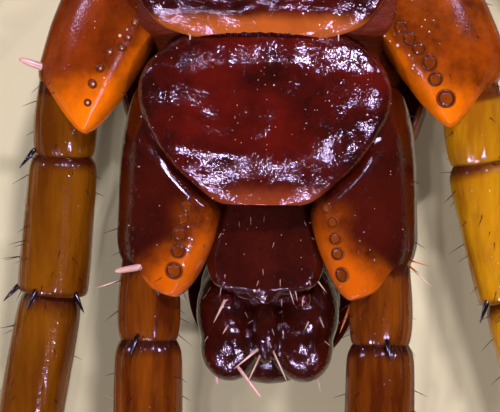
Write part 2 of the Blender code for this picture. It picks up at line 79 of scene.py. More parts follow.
SHORT_TERGITES = (2, 4, 6, 9, 11, 13, 15)
POINTED_TERGITES = (9, 11, 13)
TERGITE_TOOTH = 0.22
SHORT_TERGITE_LIFT = 0.04
LAST_LONG_TERGITE_TAPER = 0.20
NECK_BEND_DEG = 6.0
LEG_FIRST_LENGTH = 3.9
LEG_TWELFTH_LENGTH = 6.1
LEG_REAR_LENGTHS = {13: 6.9, 14: 8.1, 15: 9.5}
ARTICLE_SHARES = (0.075, 0.205, 0.205, 0.215, 0.165, 0.10, 0.035)
REAR_ARTICLE_SHARES = (0.045, 0.135, 0.220, 0.250, 0.188, 0.122, 0.040)
ARTICLE_RADII = (0.25, 0.27, 0.255, 0.24, 0.19, 0.135, 0.05)
REAR_LEGS = (14, 15)
REAR_THICKNESS = {13: 1.05, 14: 1.12, 15: 1.10}
LEG_14_OUTWARD = 0.10
ANTENNA_ARTICLES = 38
ANTENNA_ROOT_RADIUS = 0.29
ANTENNA_TIP_RADIUS = 0.13
PLATE_THICKNESS = 0.045
PLATE_OVERLAP = 0.14
SIDES = {-1: "left", 1: "right"}

# The hollow in each of the last hip plates, beside the last belly plate.
VALLEY_DEPTH = {-1: 0.052, 1: 0.048}
VALLEY_WIDTH = {-1: 0.104, 1: 0.098}

# How far the first article of a leg or feeler reaches back into what carries it.
LEG_ROOT_SINK = 0.16
ANTENNA_ROOT_SINK = 0.15

# Spurs at the far ends of the articles, by article: the angles round the leg in degrees.
THORN_ANGLES = {2: (60, 120), 3: (60, 120), 4: (90,)}
REAR_THORN_ANGLES = {2: (15, 70, 140, -60), 3: (30, 130, -90), 4: (80,)}
FIRST_THORN_ANGLE = {14: 25, 15: 75}
THORN_RADIUS = 0.028
THORN_LENGTH, REAR_THORN_LENGTH = 0.15, 0.20

# Bristles: how many on each piece, their length and their radius.
LEG_BRISTLES, REAR_LEG_BRISTLES = 100, 210
LEG_BRISTLE_SIZE = (0.13, 0.0042)
HIP_BRISTLES, HIP_BRISTLE_SIZE = 26, (0.10, 0.004)
PLATE_BRISTLES, PLATE_BRISTLE_SIZE = 26, (0.05, 0.0028)
TAIL_BRISTLES, TAIL_BRISTLE_SIZE = 40, (0.07, 0.0035)
SOCKET_SIZE = (0.021, 0.0055)
ARTICLE_HAIRS, ARTICLE_HAIR_RADIUS = 26, 0.006
FRINGE_HAIRS, FRINGE_HAIR_RADIUS = 90, 0.0035
LOWEST_BRISTLE_TIP = 0.02

# Pieces with a rim are smoothed up to the first angle, round ones all over.
RIM_DEG, ROUND_DEG = 60.0, 180.0

# The photograph's frame: its width in pixels and the pixels to a millimetre at the last belly plate.
PHOTO_WIDTH_PX = 500
PHOTO_MIDDLE_ROW_PX = 206.0
PX_PER_MM = 130.0
LAST_PLATE_REAR_PX = (262.0, 205.0)

# Stage, light and camera, in millimetres and degrees.
BELLY_LEVEL = 1.40
CAMERA_DISTANCE = 26.0
CAMERA_ROLL_DEG = 1.0
CAMERA_LEAN_DEG = 5.0
SENSOR_MM = 36.0
FLOOR_SIZE_M = 0.6
WORLD_STRENGTH = 0.05
FLASH = "#e2ccff"

# Soft lights: place round the tail and size in millimetres, and power in watts.
SOFTBOXES = {
    "front_right_box": ((20.0, 50.0, 64.0), (10.0, 8.0), 0.074),
    "front_left_box": ((-24.0, 43.0, 69.0), (3.4, 3.4), 0.0085),
    "rear_box": ((-10.5, -60.0, 60.0), (2.6, 6.0), 0.014),
    "rear_middle_box": ((-4.5, -60.0, 60.0), (2.6, 4.0), 0.012),
    "rear_left_box": ((-40.0, -50.0, 60.0), (9.0, 6.0), 0.038),
    "rear_right_box": ((36.0, -36.0, 66.0), (9.0, 8.0), 0.036),
    "left_low_box": ((-70.0, 32.0, 32.0), (10.0, 9.0), 0.028),
    "right_low_box": ((64.0, 42.0, 38.0), (9.0, 8.0), 0.026),
}


# Places

def lerp(a, b, t):
    return a + (b - a) * t


def smooth(t):
    t = min(1.0, max(0.0, t))
    return t * t * (3.0 - 2.0 * t)


def spline(a, b, c, d, u):
    """The place at share u between b and c on a smooth line through four places."""
    return 0.5 * (2 * b + (c - a) * u + (2 * a - 5 * b + 4 * c - d) * u * u
                  + (3 * b - a - 3 * c + d) * u ** 3)


def along(points, t):
    """The place at share t on a smooth line through evenly spaced points."""
    last = len(points) - 1
    k = min(int(t * last), last - 1)
    u = t * last - k
    a, b, c, d = (np.array(points[min(last, max(0, n))], float) for n in (k - 1, k, k + 1, k + 2))
    return spline(a, b, c, d, u)


def heading(number):
    if number >= 7:
        return 0.0
    return math.radians(NECK_BEND_DEG) * math.sin(math.pi * (7 - number) / 8.0)


def segment_places():
    """The frame of each segment, at the middle of its rear edge on the floor, and 0 for the head."""
    places = {7: Matrix.Identity(4)}
    y = 0.0
    for number in range(8, SEGMENTS + 1):
        y -= SEGMENT_LENGTHS[number - 1]
        places[number] = Matrix.Translation((0.0, y, 0.0))
    for number in range(6, -1, -1):
        behind = places[number + 1]
        front = behind @ Vector((0.0, SEGMENT_LENGTHS[number], 0.0))
        places[number] = Matrix.Translation(front) @ Matrix.Rotation(heading(number), 4, "Z")
    return places


PLACES = segment_places()
TAIL = PLACES[SEGMENTS]


def tergite_offset(number):
    """How far ahead of a belly plate's rear edge the matching back plate ends."""
    return sum(SEGMENT_LENGTHS[:number]) - sum(TERGITE_LENGTHS[:number])


def height_at(number, f):
    own = HEIGHTS[number - 1]
    ahead = HEIGHTS[max(0, number - 2)]
    behind = HEIGHTS[min(SEGMENTS - 1, number)]
    meets = 0.5 * (own + (ahead if f > 0.5 else behind))
    return lerp(own, meets, smooth(abs(2.0 * f - 1.0)))


def tergite_half_width(number, f):
    wide = TERGITE_HALF_WIDTHS[number - 1]
    wide *= 1.0 - 0.06 * smooth((f - 0.5) / 0.5) - 0.03 * smooth((0.12 - f) / 0.12)
    if number == 14:
        wide *= 1.0 - LAST_LONG_TERGITE_TAPER * (1.0 - f) ** 1.5
    return wide


def direction(azimuth, elevation, side):
    a, e = math.radians(azimuth), math.radians(elevation)
    return Vector((side * math.cos(a) * math.cos(e), -math.sin(a) * math.cos(e), math.sin(e)))


def leg_azimuth(number):
    return {13: 57.0, 14: 86.0, 15: 90.0}.get(number, lerp(-34.0, 38.0, (number - 1) / 11.0))


def leg_length(number):
    if number in LEG_REAR_LENGTHS:
        return LEG_REAR_LENGTHS[number]
    return lerp(LEG_FIRST_LENGTH, LEG_TWELFTH_LENGTH, (number - 1) / 11.0)


def hip_end(number):
    """The middle of the hip plate's open end on the right side."""
    if number == 15:
        return Vector((0.91, -0.54, 0.98))
    if number == 14:
        return Vector((1.50, -0.52, 0.88))
    length, width, height = SEGMENT_LENGTHS[number - 1], TERGITE_HALF_WIDTHS[number - 1], HEIGHTS[number - 1]
    reach = width + (0.24 if number < 13 else 0.14)
    return Vector((reach, lerp(0.50, 0.30, number / 13.0) * length, 0.60 * height))


def leg_joints(number, side):
    """The leg's joints from the hip to the claw's tip, in the segment's frame."""
    draw = random.Random(SEED + 31 * number + side)
    azimuth = leg_azimuth(number)
    if number == 15:
        turns = (0.0, 0.0, 1.5, 4.0, 4.0, 2.0, 2.0)
        slopes = (-2.0, -3.0, -4.0, 2.0, 4.0, 6.0, 4.0)
    elif number == 14:
        turns = (2.0, -1.0, -6.0, -9.0, -6.0, -2.0, 2.0)
        if side > 0:
            turns = (-4.0, -11.0, -13.0, -13.0, -9.0, -5.0, 0.0)
        slopes = (-6.0, -6.0, -5.0, 3.0, 6.0, 8.0, 6.0)
    else:
        turns = (0.0, 2.0, 10.0, 19.0, 27.0, 34.0, 40.0)
        slopes = (-10.0, -24.0, -9.0, 6.0, 14.0, 14.0, 10.0)
    wobble = 0.0 if number >= 14 else draw.uniform(-4.0, 4.0)
    lift = 0.0 if number >= 14 else draw.uniform(-3.0, 3.0)
    root = hip_end(number) + direction(azimuth, 0.0, 1.0) * 1.15 * GAP
    if number == 14:
        root += Vector((LEG_14_OUTWARD, 0.4 * LEG_14_OUTWARD, 0.0))
    joints = [Vector((side * root.x, root.y, root.z))]
    shares = REAR_ARTICLE_SHARES if number in REAR_LEGS else ARTICLE_SHARES
    for share, turn, slope in zip(shares, turns, slopes):
        step = direction(azimuth + turn + wobble, slope + lift, side)
        joints.append(joints[-1] + step * share * leg_length(number))
    return joints


# Ways of modelling

def clear_selection():
    if bpy.context.mode != "OBJECT":
        bpy.ops.object.mode_set(mode="OBJECT")
    bpy.ops.object.select_all(action="DESELECT")


def named(name):
    obj = bpy.context.object
    obj.name = name
    obj.data.name = name
    return obj


def steady(obj):
    """Puts points and faces in one fixed order, because an operator's own order differs from run to run."""
    mesh = obj.data
    places = [[round(c, 6) for c in reversed(vertex.co)] for vertex in mesh.vertices]
    order = sorted(range(len(places)), key=places.__getitem__)
    rank = {old: new for new, old in enumerate(order)}
    points = [tuple(mesh.vertices[k].co) for k in order]
    faces = []
    for face in mesh.polygons:
        ring = [rank[k] for k in face.vertices]
        start = ring.index(min(ring))
        faces.append(ring[start:] + ring[:start])
    mesh.clear_geometry()
    mesh.from_pydata(points, [], sorted(faces))
    return obj


def use(obj):
    clear_selection()
    obj.select_set(True)
    bpy.context.view_layer.objects.active = obj


def apply_modifier(obj, kind, **settings):
    use(obj)
    modifier = obj.modifiers.new(kind.lower(), kind)
    for key, value in settings.items():
        setattr(modifier, key, value)
    bpy.ops.object.modifier_apply(modifier=modifier.name)


def subdivide(obj, levels):
    if levels:
        apply_modifier(obj, "SUBSURF", levels=levels, render_levels=levels)


def set_tone(obj, values):
    """Stores on each point how thin and pale the horny skin is there, which the materials read. On the pores
    it marks a painted shade on the crater walls, and on the right hip of pair 14 a painted light.
    """
    tones = obj.data.attributes.new("tone", "FLOAT", "POINT")
    tones.data.foreach_set("value", values)


def pressed_plate(name, columns, rows, shape, tone, outward, levels=1, thickness=PLATE_THICKNESS):
    """A grid pressed to a plate of horny skin, then given its thickness and a rounded rim."""
    clear_selection()
    bpy.ops.mesh.primitive_grid_add(x_subdivisions=columns, y_subdivisions=rows, size=2.0)
    obj = named(name)
    shares = [(v.co.x, v.co.y) for v in obj.data.vertices]
    for vertex, (u, w) in zip(obj.data.vertices, shares):
        vertex.co = shape(u, 0.5 * (w + 1.0))
    set_tone(obj, [tone(u, 0.5 * (w + 1.0)) for u, w in shares])
    obj.data.update()
    facing = sum((p.normal * p.area for p in obj.data.polygons), Vector())
    if facing.dot(Vector(outward)) < 0:
        bpy.ops.object.mode_set(mode="EDIT")
        bpy.ops.mesh.select_all(action="SELECT")
        bpy.ops.mesh.flip_normals()
        bpy.ops.object.mode_set(mode="OBJECT")
    apply_modifier(obj, "SOLIDIFY", thickness=thickness, offset=-1.0)
    subdivide(obj, levels)
    return obj


def wrapped_skin(name, columns, rows, shape, tone=None, levels=0):
    """A grid wrapped round into a closed skin, whose first and last rows draw together to a point."""
    clear_selection()
    bpy.ops.mesh.primitive_grid_add(x_subdivisions=columns, y_subdivisions=rows, size=2.0)
    obj = named(name)
    shares = [(0.5 * (v.co.x + 1.0), 0.5 * (v.co.y + 1.0)) for v in obj.data.vertices]
    for vertex, (t, v) in zip(obj.data.vertices, shares):
        vertex.co = shape(t, v)
    set_tone(obj, [tone(t, v) if tone else 0.0 for t, v in shares])
    bpy.ops.object.mode_set(mode="EDIT")
    bpy.ops.mesh.select_all(action="SELECT")
    bpy.ops.mesh.remove_doubles(threshold=0.0004)
    bpy.ops.mesh.select_all(action="DESELECT")
    bpy.ops.mesh.select_non_manifold()
    bpy.ops.mesh.fill_holes(sides=0)
    bpy.ops.mesh.select_all(action="SELECT")
    bpy.ops.mesh.normals_make_consistent(inside=False)
    bpy.ops.object.mode_set(mode="OBJECT")
    subdivide(obj, levels)
    return obj


def closed_rings(rings):
    """Rings drawn to a point at both ends, each led back to its own start."""
    ends = [[tuple(np.mean(rings[k], axis=0))] * len(rings[0]) for k in (0, -1)]
    return [ring + ring[:1] for ring in [ends[0]] + rings + [ends[1]]]


def mirrored(half, y):
    """A flat ring at a place along the body, from its right half."""
    return [(x, y, z) for x, z in half] + [(-x, y, z) for x, z in half[-2:0:-1]]


def drawn_out(name, sections, sides, levels=1):
    """A disc drawn out along Z. Each section is its place along Z, its radius and, in a bent form, its shift
    in Y."""
    clear_selection()
    bpy.ops.mesh.primitive_circle_add(vertices=sides, radius=1.0, fill_type="NGON")
    obj = named(name)
    sections = [(z, radius, shift[0] if shift else 0.0) for z, radius, *shift in sections]
    z, radius, shift = sections[0]
    bpy.ops.object.mode_set(mode="EDIT")
    bpy.ops.mesh.select_all(action="SELECT")
    bpy.ops.transform.resize(value=(radius, radius, 1.0), center_override=(0.0, 0.0, 0.0))
    bpy.ops.transform.translate(value=(0.0, shift, z))
    for before, after in zip(sections, sections[1:]):
        step = (0.0, after[2] - before[2], after[0] - before[0])
        bpy.ops.mesh.extrude_region_move(TRANSFORM_OT_translate={"value": step})
        grow = after[1] / before[1]
        bpy.ops.transform.resize(value=(grow, grow, 1.0), center_override=(0.0, after[2], after[0]))
    bpy.ops.mesh.select_all(action="SELECT")
    bpy.ops.mesh.normals_make_consistent(inside=False)
    bpy.ops.object.mode_set(mode="OBJECT")
    subdivide(steady(obj), levels)
    return obj


def copy_of(master, name, matrix):
    obj = bpy.data.objects.new(name, master.data.copy())
    bpy.context.scene.collection.objects.link(obj)
    obj.data.transform(matrix)
    return obj


def joined(name, pieces):
    """Several pieces made one mesh."""
    clear_selection()
    for piece in pieces:
        piece.select_set(True)
    bpy.context.view_layer.objects.active = pieces[0]
    bpy.ops.object.join()
    return named(name)


def repeated(name, master, matrices):
    """One mesh that holds the master at every matrix, for bristles and other small things."""
    mesh = master.data
    points = np.empty(len(mesh.vertices) * 3)
    mesh.vertices.foreach_get("co", points)
    points = np.c_[points.reshape(-1, 3), np.ones(len(mesh.vertices))]
    faces = [tuple(p.vertices) for p in mesh.polygons]
    count = len(mesh.vertices)
    all_points, all_faces = [], []
    for k, matrix in enumerate(matrices):
        all_points.append(points @ np.array(matrix).T[:, :3])
        all_faces += [tuple(n + k * count for n in face) for face in faces]
    data = bpy.data.meshes.new(name)
    data.from_pydata(np.concatenate(all_points).tolist(), [], all_faces)
    obj = bpy.data.objects.new(name, data)
    bpy.context.scene.collection.objects.link(obj)
    return obj


def pointing(root, aim, wide, deep, length, up=(0.0, 0.0, 1.0)):
    """A frame whose Z runs along the aim, scaled to a size."""
    z = Vector(aim).normalized()
    x = z.cross(Vector(up))
    if x.length < 1e-4:
        x = z.cross(Vector((0.0, 1.0, 0.0)))
    x.normalize()
    y = z.cross(x)
    turn = Matrix((x, y, z)).transposed().to_4x4()
    return Matrix.Translation(root) @ turn @ Matrix.Diagonal((wide, deep, length, 1.0))


def settle(obj, finish, place=None, nodes=(), smooth_deg=ROUND_DEG):
    """Puts a piece in its place in metres, with its finish and what it stands for."""
    if place is not None:
        obj.data.transform(place)
    obj.data.transform(Matrix.Scale(MM, 4))
    obj.data.materials.clear()
    obj.data.materials.append(finish)
    use(obj)
    bpy.ops.object.shade_smooth_by_angle(angle=math.radians(smooth_deg))
    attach(obj, "root")
    if nodes:
        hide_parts(*nodes)
    return obj


# Finishes

CHITIN_IOR = 1.56


def linear(code):
    """A hex sRGB colour as linear RGBA."""
    parts = [int(code[k:k + 2], 16) / 255.0 for k in (1, 3, 5)]
    return tuple(p / 12.92 if p <= 0.04045 else ((p + 0.055) / 1.055) ** 2.4 for p in parts) + (1.0,)


def feed(tree, node, inputs):
    """Gives each input of a node a value or a link."""
    for socket, value in inputs.items():
        if isinstance(value, bpy.types.NodeSocket):
            tree.links.new(value, node.inputs[socket])
        else:
            node.inputs[socket].default_value = value


def add(tree, kind, inputs=None, **settings):
    """Adds a node, sets it, and gives each input a value or a link."""
    node = tree.nodes.new(kind)
    for key, value in settings.items():
        setattr(node, key, value)
    feed(tree, node, inputs or {})
    return node


def noise(tree, place, scale, detail, rough=0.5):
    inputs = {"Vector": place, "Scale": scale, "Detail": detail, "Roughness": rough}
    return add(tree, "ShaderNodeTexNoise", inputs).outputs["Fac"]


def spread(tree, value, low, high, to_low=0.0, to_high=1.0):
    """A value between two limits, drawn out to two others."""
    inputs = {"Value": value, "From Min": low, "From Max": high, "To Min": to_low, "To Max": to_high}
    return add(tree, "ShaderNodeMapRange", inputs).outputs["Result"]


def reckon(tree, operation, a, b, clamp=False):
    return add(tree, "ShaderNodeMath", {0: a, 1: b}, operation=operation, use_clamp=clamp).outputs[0]


def mixed(tree, share, a, b, how="MIX"):
    """One colour turned into another by a share."""
    return add(tree, "ShaderNodeMix", {0: share, 6: a, 7: b}, data_type="RGBA", blend_type=how).outputs[2]


def relief(tree, height, depth, below=None, strength=1.0):
    """A relief of a depth in millimetres, laid on the one below it."""
    inputs = {"Height": height, "Distance": depth * MM, "Strength": strength}
    if below is not None:
        inputs["Normal"] = below
    return add(tree, "ShaderNodeBump", inputs).outputs["Normal"]


def new_finish(name):
    finish = bpy.data.materials.new(name)
    finish.use_nodes = True
    return finish, finish.node_tree, finish.node_tree.nodes["Principled BSDF"]


def millimetres(tree, stretch=(1.0, 1.0, 1.0)):
    """The place on the piece, in millimetres."""
    place = add(tree, "ShaderNodeTexCoord").outputs["Object"]
    scale = tuple(part / MM for part in stretch)
    return add(tree, "ShaderNodeMapping", {"Vector": place, "Scale": scale}).outputs["Vector"]


def horny_skin(name, deep, warm, thin, mottle=0.45, grain=0.022, grain_depth=0.0022, swell=0.0,
               rough=(0.12, 0.22), coat=0.25, coat_rough=0.06, glow=0.10, glow_reach=0.25, stretch=(1, 1, 1),
               ridge=0.0, shine_level=0.1):
    """Sclerotised chitin, grown and tanned: a hard glossy skin with a fine grain, darker where it is
    thick and amber where it is thin, so that light comes through its edges."""
    finish, tree, shader = new_finish(name)
    even_mm = millimetres(tree)
    cloud = spread(tree, noise(tree, millimetres(tree, stretch), 1.0 / mottle, 4.0, 0.6), 0.36, 0.66)
    body = mixed(tree, cloud, linear(deep), linear(warm))
    tone = add(tree, "ShaderNodeAttribute", attribute_name="tone").outputs["Fac"]
    uneven = reckon(tree, "SUBTRACT", noise(tree, even_mm, 5.0, 5.0, 0.65), 0.5)
    uneven = reckon(tree, "MULTIPLY", uneven, 1.1)
    parts = reckon(tree, "MINIMUM", tone, 1.0)
    ragged = reckon(tree, "MULTIPLY", uneven, reckon(tree, "MULTIPLY", parts, 4.0, True))
    # The tone is mostly thin skin; on the pores it carries painted shade, and on the right hip of pair 14
    # painted light.
    thinness_and_painted_light = reckon(tree, "ADD", parts, ragged, True)
    fine = noise(tree, even_mm, 1.0 / grain, 2.0, 0.6)
    pits = add(tree, "ShaderNodeTexVoronoi", {"Vector": even_mm, "Scale": 13.0, "Randomness": 1.0})
    pit = spread(tree, pits.outputs["Distance"], 0.06, 0.20, 1.0, 0.0)
    normal = relief(tree, pit, 0.003, relief(tree, fine, grain_depth), 0.7)
    normal = relief(tree, noise(tree, even_mm, 3.4, 1.0, 0.45), swell, normal)
    if ridge:
        normal = relief(tree, noise(tree, millimetres(tree, (9.0, 0.45, 9.0)), 1.0, 2.0), ridge, normal)
    feed(tree, shader, {
        "Base Color": mixed(tree, thinness_and_painted_light, body, linear(thin)),
        "Roughness": spread(tree, fine, 0.3, 0.7, *rough), "Normal": normal, "Coat Normal": normal,
        "IOR": CHITIN_IOR, "Specular IOR Level": shine_level,
        "Coat Weight": coat, "Coat Roughness": coat_rough, "Subsurface Weight": glow,
        "Subsurface Radius": (1.0, 0.32, 0.06), "Subsurface Scale": glow_reach * MM})
    return finish


def soft_skin(name, deep, pale):
    """The soft skin between the plates: leathery, finely folded, with a dull sheen, its colour darker in the
    troughs of the folds: painted shade in the creases.
    """
    finish, tree, shader = new_finish(name)
    folds_and_painted_shade = noise(tree, millimetres(tree, (1.0, 2.2, 1.0)), 9.0, 5.0, 0.65)
    feed(tree, shader, {
        # Deep colour where the folds sink: painted shade in the creases.
        "Base Color": mixed(tree, folds_and_painted_shade, linear(deep), linear(pale)),
        "Normal": relief(tree, folds_and_painted_shade, 0.05, None, 0.8), "Roughness": 0.45, "Specular IOR Level": 0.15,
        "Subsurface Weight": 0.25, "Subsurface Radius": (1.0, 0.4, 0.15), "Subsurface Scale": 0.2 * MM})
    return finish


def bristle_finish(name, colour, rough=0.3, glow=0.3):
    """Bristle: a clear, stiff hair of chitin that catches the light."""
    finish, tree, shader = new_finish(name)
    shade = spread(tree, noise(tree, millimetres(tree), 6.0, 2.0), 0.3, 0.7, 0.75, 1.15)
    feed(tree, shader, {
        "Base Color": mixed(tree, 1.0, linear(colour), shade, "MULTIPLY"), "Roughness": rough,
        "IOR": CHITIN_IOR, "Subsurface Weight": glow,
        "Subsurface Radius": (1.0, 0.6, 0.3), "Subsurface Scale": 0.05 * MM})
    return finish


def floor_finish():
    """Matt pale card: an even sheet with hardly any tooth."""
    finish, tree, shader = new_finish("pale_card")
    tooth = noise(tree, millimetres(tree), 0.8, 4.0)
    card = mixed(tree, tooth, linear("#cbd18c"), linear("#d2d896"))
    feed(tree, shader, {"Base Color": card, "Roughness": 0.8})
    return finish


PLATE_LOOK = dict(mottle=0.42, glow=0.12, grain=0.026, grain_depth=0.0042, swell=0.07, coat=0.9)
REAR_LEG_LOOK = dict(mottle=0.4, glow=0.25, stretch=(1.8, 0.3, 1.8), grain=0.035, swell=0.004, ridge=0.018)
CHESTNUT = horny_skin("chestnut_chitin", "#260602", "#4c0d04", "#a45618", **PLATE_LOOK)
LAST_PLATE = horny_skin("last_plate_chitin", "#260602", "#500d04", "#803a16", **PLATE_LOOK)
TAN = horny_skin("tan_chitin", "#4a1e0a", "#693411", "#8a5024", mottle=0.7, glow=0.15)
AMBER = horny_skin("amber_chitin", "#401203", "#6a2604", "#e07404", mottle=0.35, glow=0.25, glow_reach=0.3,
                   grain_depth=0.0018, swell=0.012, rough=(0.18, 0.26), coat=0.1, coat_rough=0.1,
                   shine_level=0.06, stretch=(1.6, 0.7, 1.0))
LAST_HIP = horny_skin("last_hip_chitin", "#2c0802", "#400e03", "#b65802", mottle=0.5, glow=0.2,
                      glow_reach=0.3, grain_depth=0.0022, swell=0.012, coat=0.85)
LEG = horny_skin("leg_chitin", "#532605", "#764008", "#3a0f04", mottle=0.4, glow=0.25, grain=0.035,
                 swell=0.004)
REAR_LEG = horny_skin("rear_leg_chitin", "#502802", "#704404", "#3a1404", **REAR_LEG_LOOK)
# A paler, yellower copy of the rear-leg finish for the right leg of pair 14: painted light, as if that leg
# were lit more than the left one.
REAR_LEG_PAINTED_LIT = horny_skin("rear_leg_chitin_painted_light", "#8a5a06", "#b6880a", "#4e2004", **REAR_LEG_LOOK)
LAST_LEG = horny_skin("last_leg_chitin", "#441a02", "#723c06", "#2c0c03", mottle=0.35, glow=0.2,
                      stretch=(2.2, 0.3, 2.2), grain=0.035, swell=0.004, ridge=0.022)
DARK_RED = horny_skin("genital_chitin", "#220602", "#380d04", "#380803", mottle=0.3, glow=0.1, grain=0.03,
                      grain_depth=0.0045, swell=0.012, coat=0.9)
LAST_BACK = horny_skin("last_back_plate_chitin", "#300c03", "#461406", "#5e260a", mottle=0.3, grain=0.03,
                       rough=(0.3, 0.4), coat=0.1, shine_level=0.1)
FANG = horny_skin("fang_chitin", "#5a220a", "#753010", "#170503", mottle=0.6, glow=0.12)
HEAD_SHIELD = horny_skin("head_chitin", "#5a220a", "#783410", "#9a5c2c", mottle=0.8, glow=0.15)
FANG_BASE = horny_skin("fang_base_chitin", "#56200a", "#702c0e", "#9a5c2c", mottle=0.7, glow=0.12)
HIP = horny_skin("hip_chitin", "#401404", "#5e2608", "#a0500c", mottle=0.5, glow=0.2, glow_reach=0.3)
FEELER = horny_skin("feeler_chitin", "#64300c", "#804812", "#3a1406", mottle=0.5, glow=0.25, grain=0.03)
SKIN = soft_skin("joint_skin", "#3c1203", "#762c06")
PALE_BRISTLE = bristle_finish("pale_bristle", "#d8b48c")
PINK_SPINE = bristle_finish("pink_spine", "#c8a484")
ORANGE_BRISTLE = bristle_finish("orange_bristle", "#c8660f")
DARK_BRISTLE = bristle_finish("dark_bristle", "#2a0d04", glow=0.1)
THORN = bristle_finish("thorn_chitin", "#0c0303", rough=0.2, glow=0.05)
EYE = bristle_finish("eye_lens", "#0a0605", rough=0.06, glow=0.0)
# The pores' finish: its nearly black thin colour is a painted shade on the crater walls.
PORE_PAINTED_SHADE = horny_skin("pore_chitin_painted_wall_shade", "#5c2603", "#7c3a04", "#260a02", mottle=0.2, glow=0.2, grain=0.03,
                  rough=(0.2, 0.3), coat=0.08, coat_rough=0.12, shine_level=0.06)


# Trunk

def back_plate(number):
    """The tergite of one segment: broad, curved up at the sides, with its front edge under the one ahead."""
    low = SHORT_TERGITE_LIFT if number in SHORT_TERGITES else 0.0
    rear = tergite_offset(number) + 0.2 * GAP
    overlap = PLATE_OVERLAP if number > 1 else -0.05
    front = SEGMENT_LENGTHS[number - 1] + tergite_offset(number - 1) + overlap

    def shape(u, f):
        side = abs(u)
        wide, high = tergite_half_width(number, f), height_at(number, f)
        path = ((0.0, low), (0.44 * wide, low), (0.80 * wide, low + 0.06 * high), (0.97 * wide, 0.16 * high),
                (wide, 0.25 * high), (0.97 * wide, 0.33 * high))
        x, z = along(path, side)
        tuck = smooth((f - 0.86) / 0.14) * (0.065 if number > 1 else 0.0)
        y = lerp(rear, front, f)
        if number in POINTED_TERGITES:
            y -= TERGITE_TOOTH * smooth((side - 0.55) / 0.4) * (1.0 - f)
        else:
            y += 0.16 * side ** 7 * (1.0 - f)
        rim = 0.018 * smooth((side - 0.86) / 0.1)
        return (math.copysign((x - tuck * side) * (1.0 + rim), u), y, max(0.0, z) + tuck)

    def tone(u, f):
        return 0.7 * (1.0 - smooth(f * (front - rear) / 0.16))

    plate = pressed_plate(f"back_plate_{number:02d}", 28, 16, shape, tone, (0.0, 0.0, -1.0))
    settle(plate, TAN, PLACES[number], (), RIM_DEG)


def belly_outline(number):
    """Place along the segment and half-width of a belly plate, from its rear edge to its hidden front one."""
    if number == 15:
        return ((0.0, 0.30), (0.03, 0.39), (0.115, 0.505), (0.21, 0.62), (0.28, 0.70), (0.37, 0.775),
                (0.51, 0.87), (0.67, 0.95), (0.87, 0.995), (1.05, 0.942), (1.17, 0.84), (1.27, 0.70),
                (1.42, 0.45))
    if number == 14:
        return ((0.0, 0.50), (0.03, 0.62), (0.07, 0.74), (0.13, 0.835), (0.19, 0.89), (0.27, 0.955),
                (0.45, 1.05), (0.70, 1.12), (0.95, 1.13), (1.25, 1.04), (1.56, 0.86))
    length, wide = SEGMENT_LENGTHS[number - 1], STERNITE_HALF_WIDTHS[number - 1]
    return ((0.0, 0.58 * wide), (0.06 * length, 0.70 * wide), (0.2 * length, 0.82 * wide),
            (0.45 * length, 0.95 * wide), (0.68 * length, 1.0 * wide), (0.88 * length, 0.93 * wide),
            (length + 0.02, 0.78 * wide))


def belly_plate(number):
    """The sternite of one segment: a shallow shield whose rear rim lies over the next one."""
    outline = belly_outline(number)
    reach = outline[-1][0]
    hero = number >= 14
    shift = {15: 0.0, 14: -0.03}.get(number, -0.10)
    aside = -0.04 if number == 14 else 0.0

    def shape(u, f):
        y, half = along(outline, f)
        side = abs(u)
        high = 1.01 * height_at(number, min(1.0, max(0.0, y / SEGMENT_LENGTHS[number - 1])))
        rear = 0.085 * smooth((0.33 * reach - y) / (0.24 * reach))
        rear += 0.015 * smooth((0.1 * reach - y) / (0.1 * reach))
        front = 0.12 * smooth((y - 0.68 * reach) / (0.25 * reach)) + 0.08 * smooth((f - 0.88) / 0.12)
        flank = 0.11 * side ** 3.4 + 0.04 * smooth((side - 0.95) / 0.05)
        low = rear + front + flank * (1.0 - 0.45 * (rear + front) / 0.12)
        if number == 14:
            y += 0.045 * (1.0 - side * side) * (1.0 - smooth(y / 0.3))
            fray = 0.5 * math.sin(47.0 * u) + 0.3 * math.sin(83.0 * u + 1.0) + 0.4 * math.sin(29.0 * u + 2.0)
            y += 0.012 * fray * smooth(1.0 - f / 0.03) * smooth((0.75 - side) / 0.3)
        return (u * half + aside, y + shift, high - low)

    def tone(u, f):
        y, half = along(outline, f)
        if number == 15:
            return 0.85 * (1.0 - smooth((y - 0.02) / 0.17))
        band = 0.16 if number == 14 else 0.13
        return max(1.0 - smooth((y - 0.06) / band), 0.2 * smooth((abs(u) - 0.95) / 0.05))

    columns, rows = (44, 40) if hero else (24, 18)
    thickness = 0.028 if number == SEGMENTS else PLATE_THICKNESS
    plate = pressed_plate(f"belly_plate_{number:02d}", columns, rows, shape, tone, (0.0, 0.0, 1.0),
                          thickness=thickness)
    finish = LAST_PLATE if number == SEGMENTS else CHESTNUT
    return settle(plate, finish, PLACES[number], (), RIM_DEG)


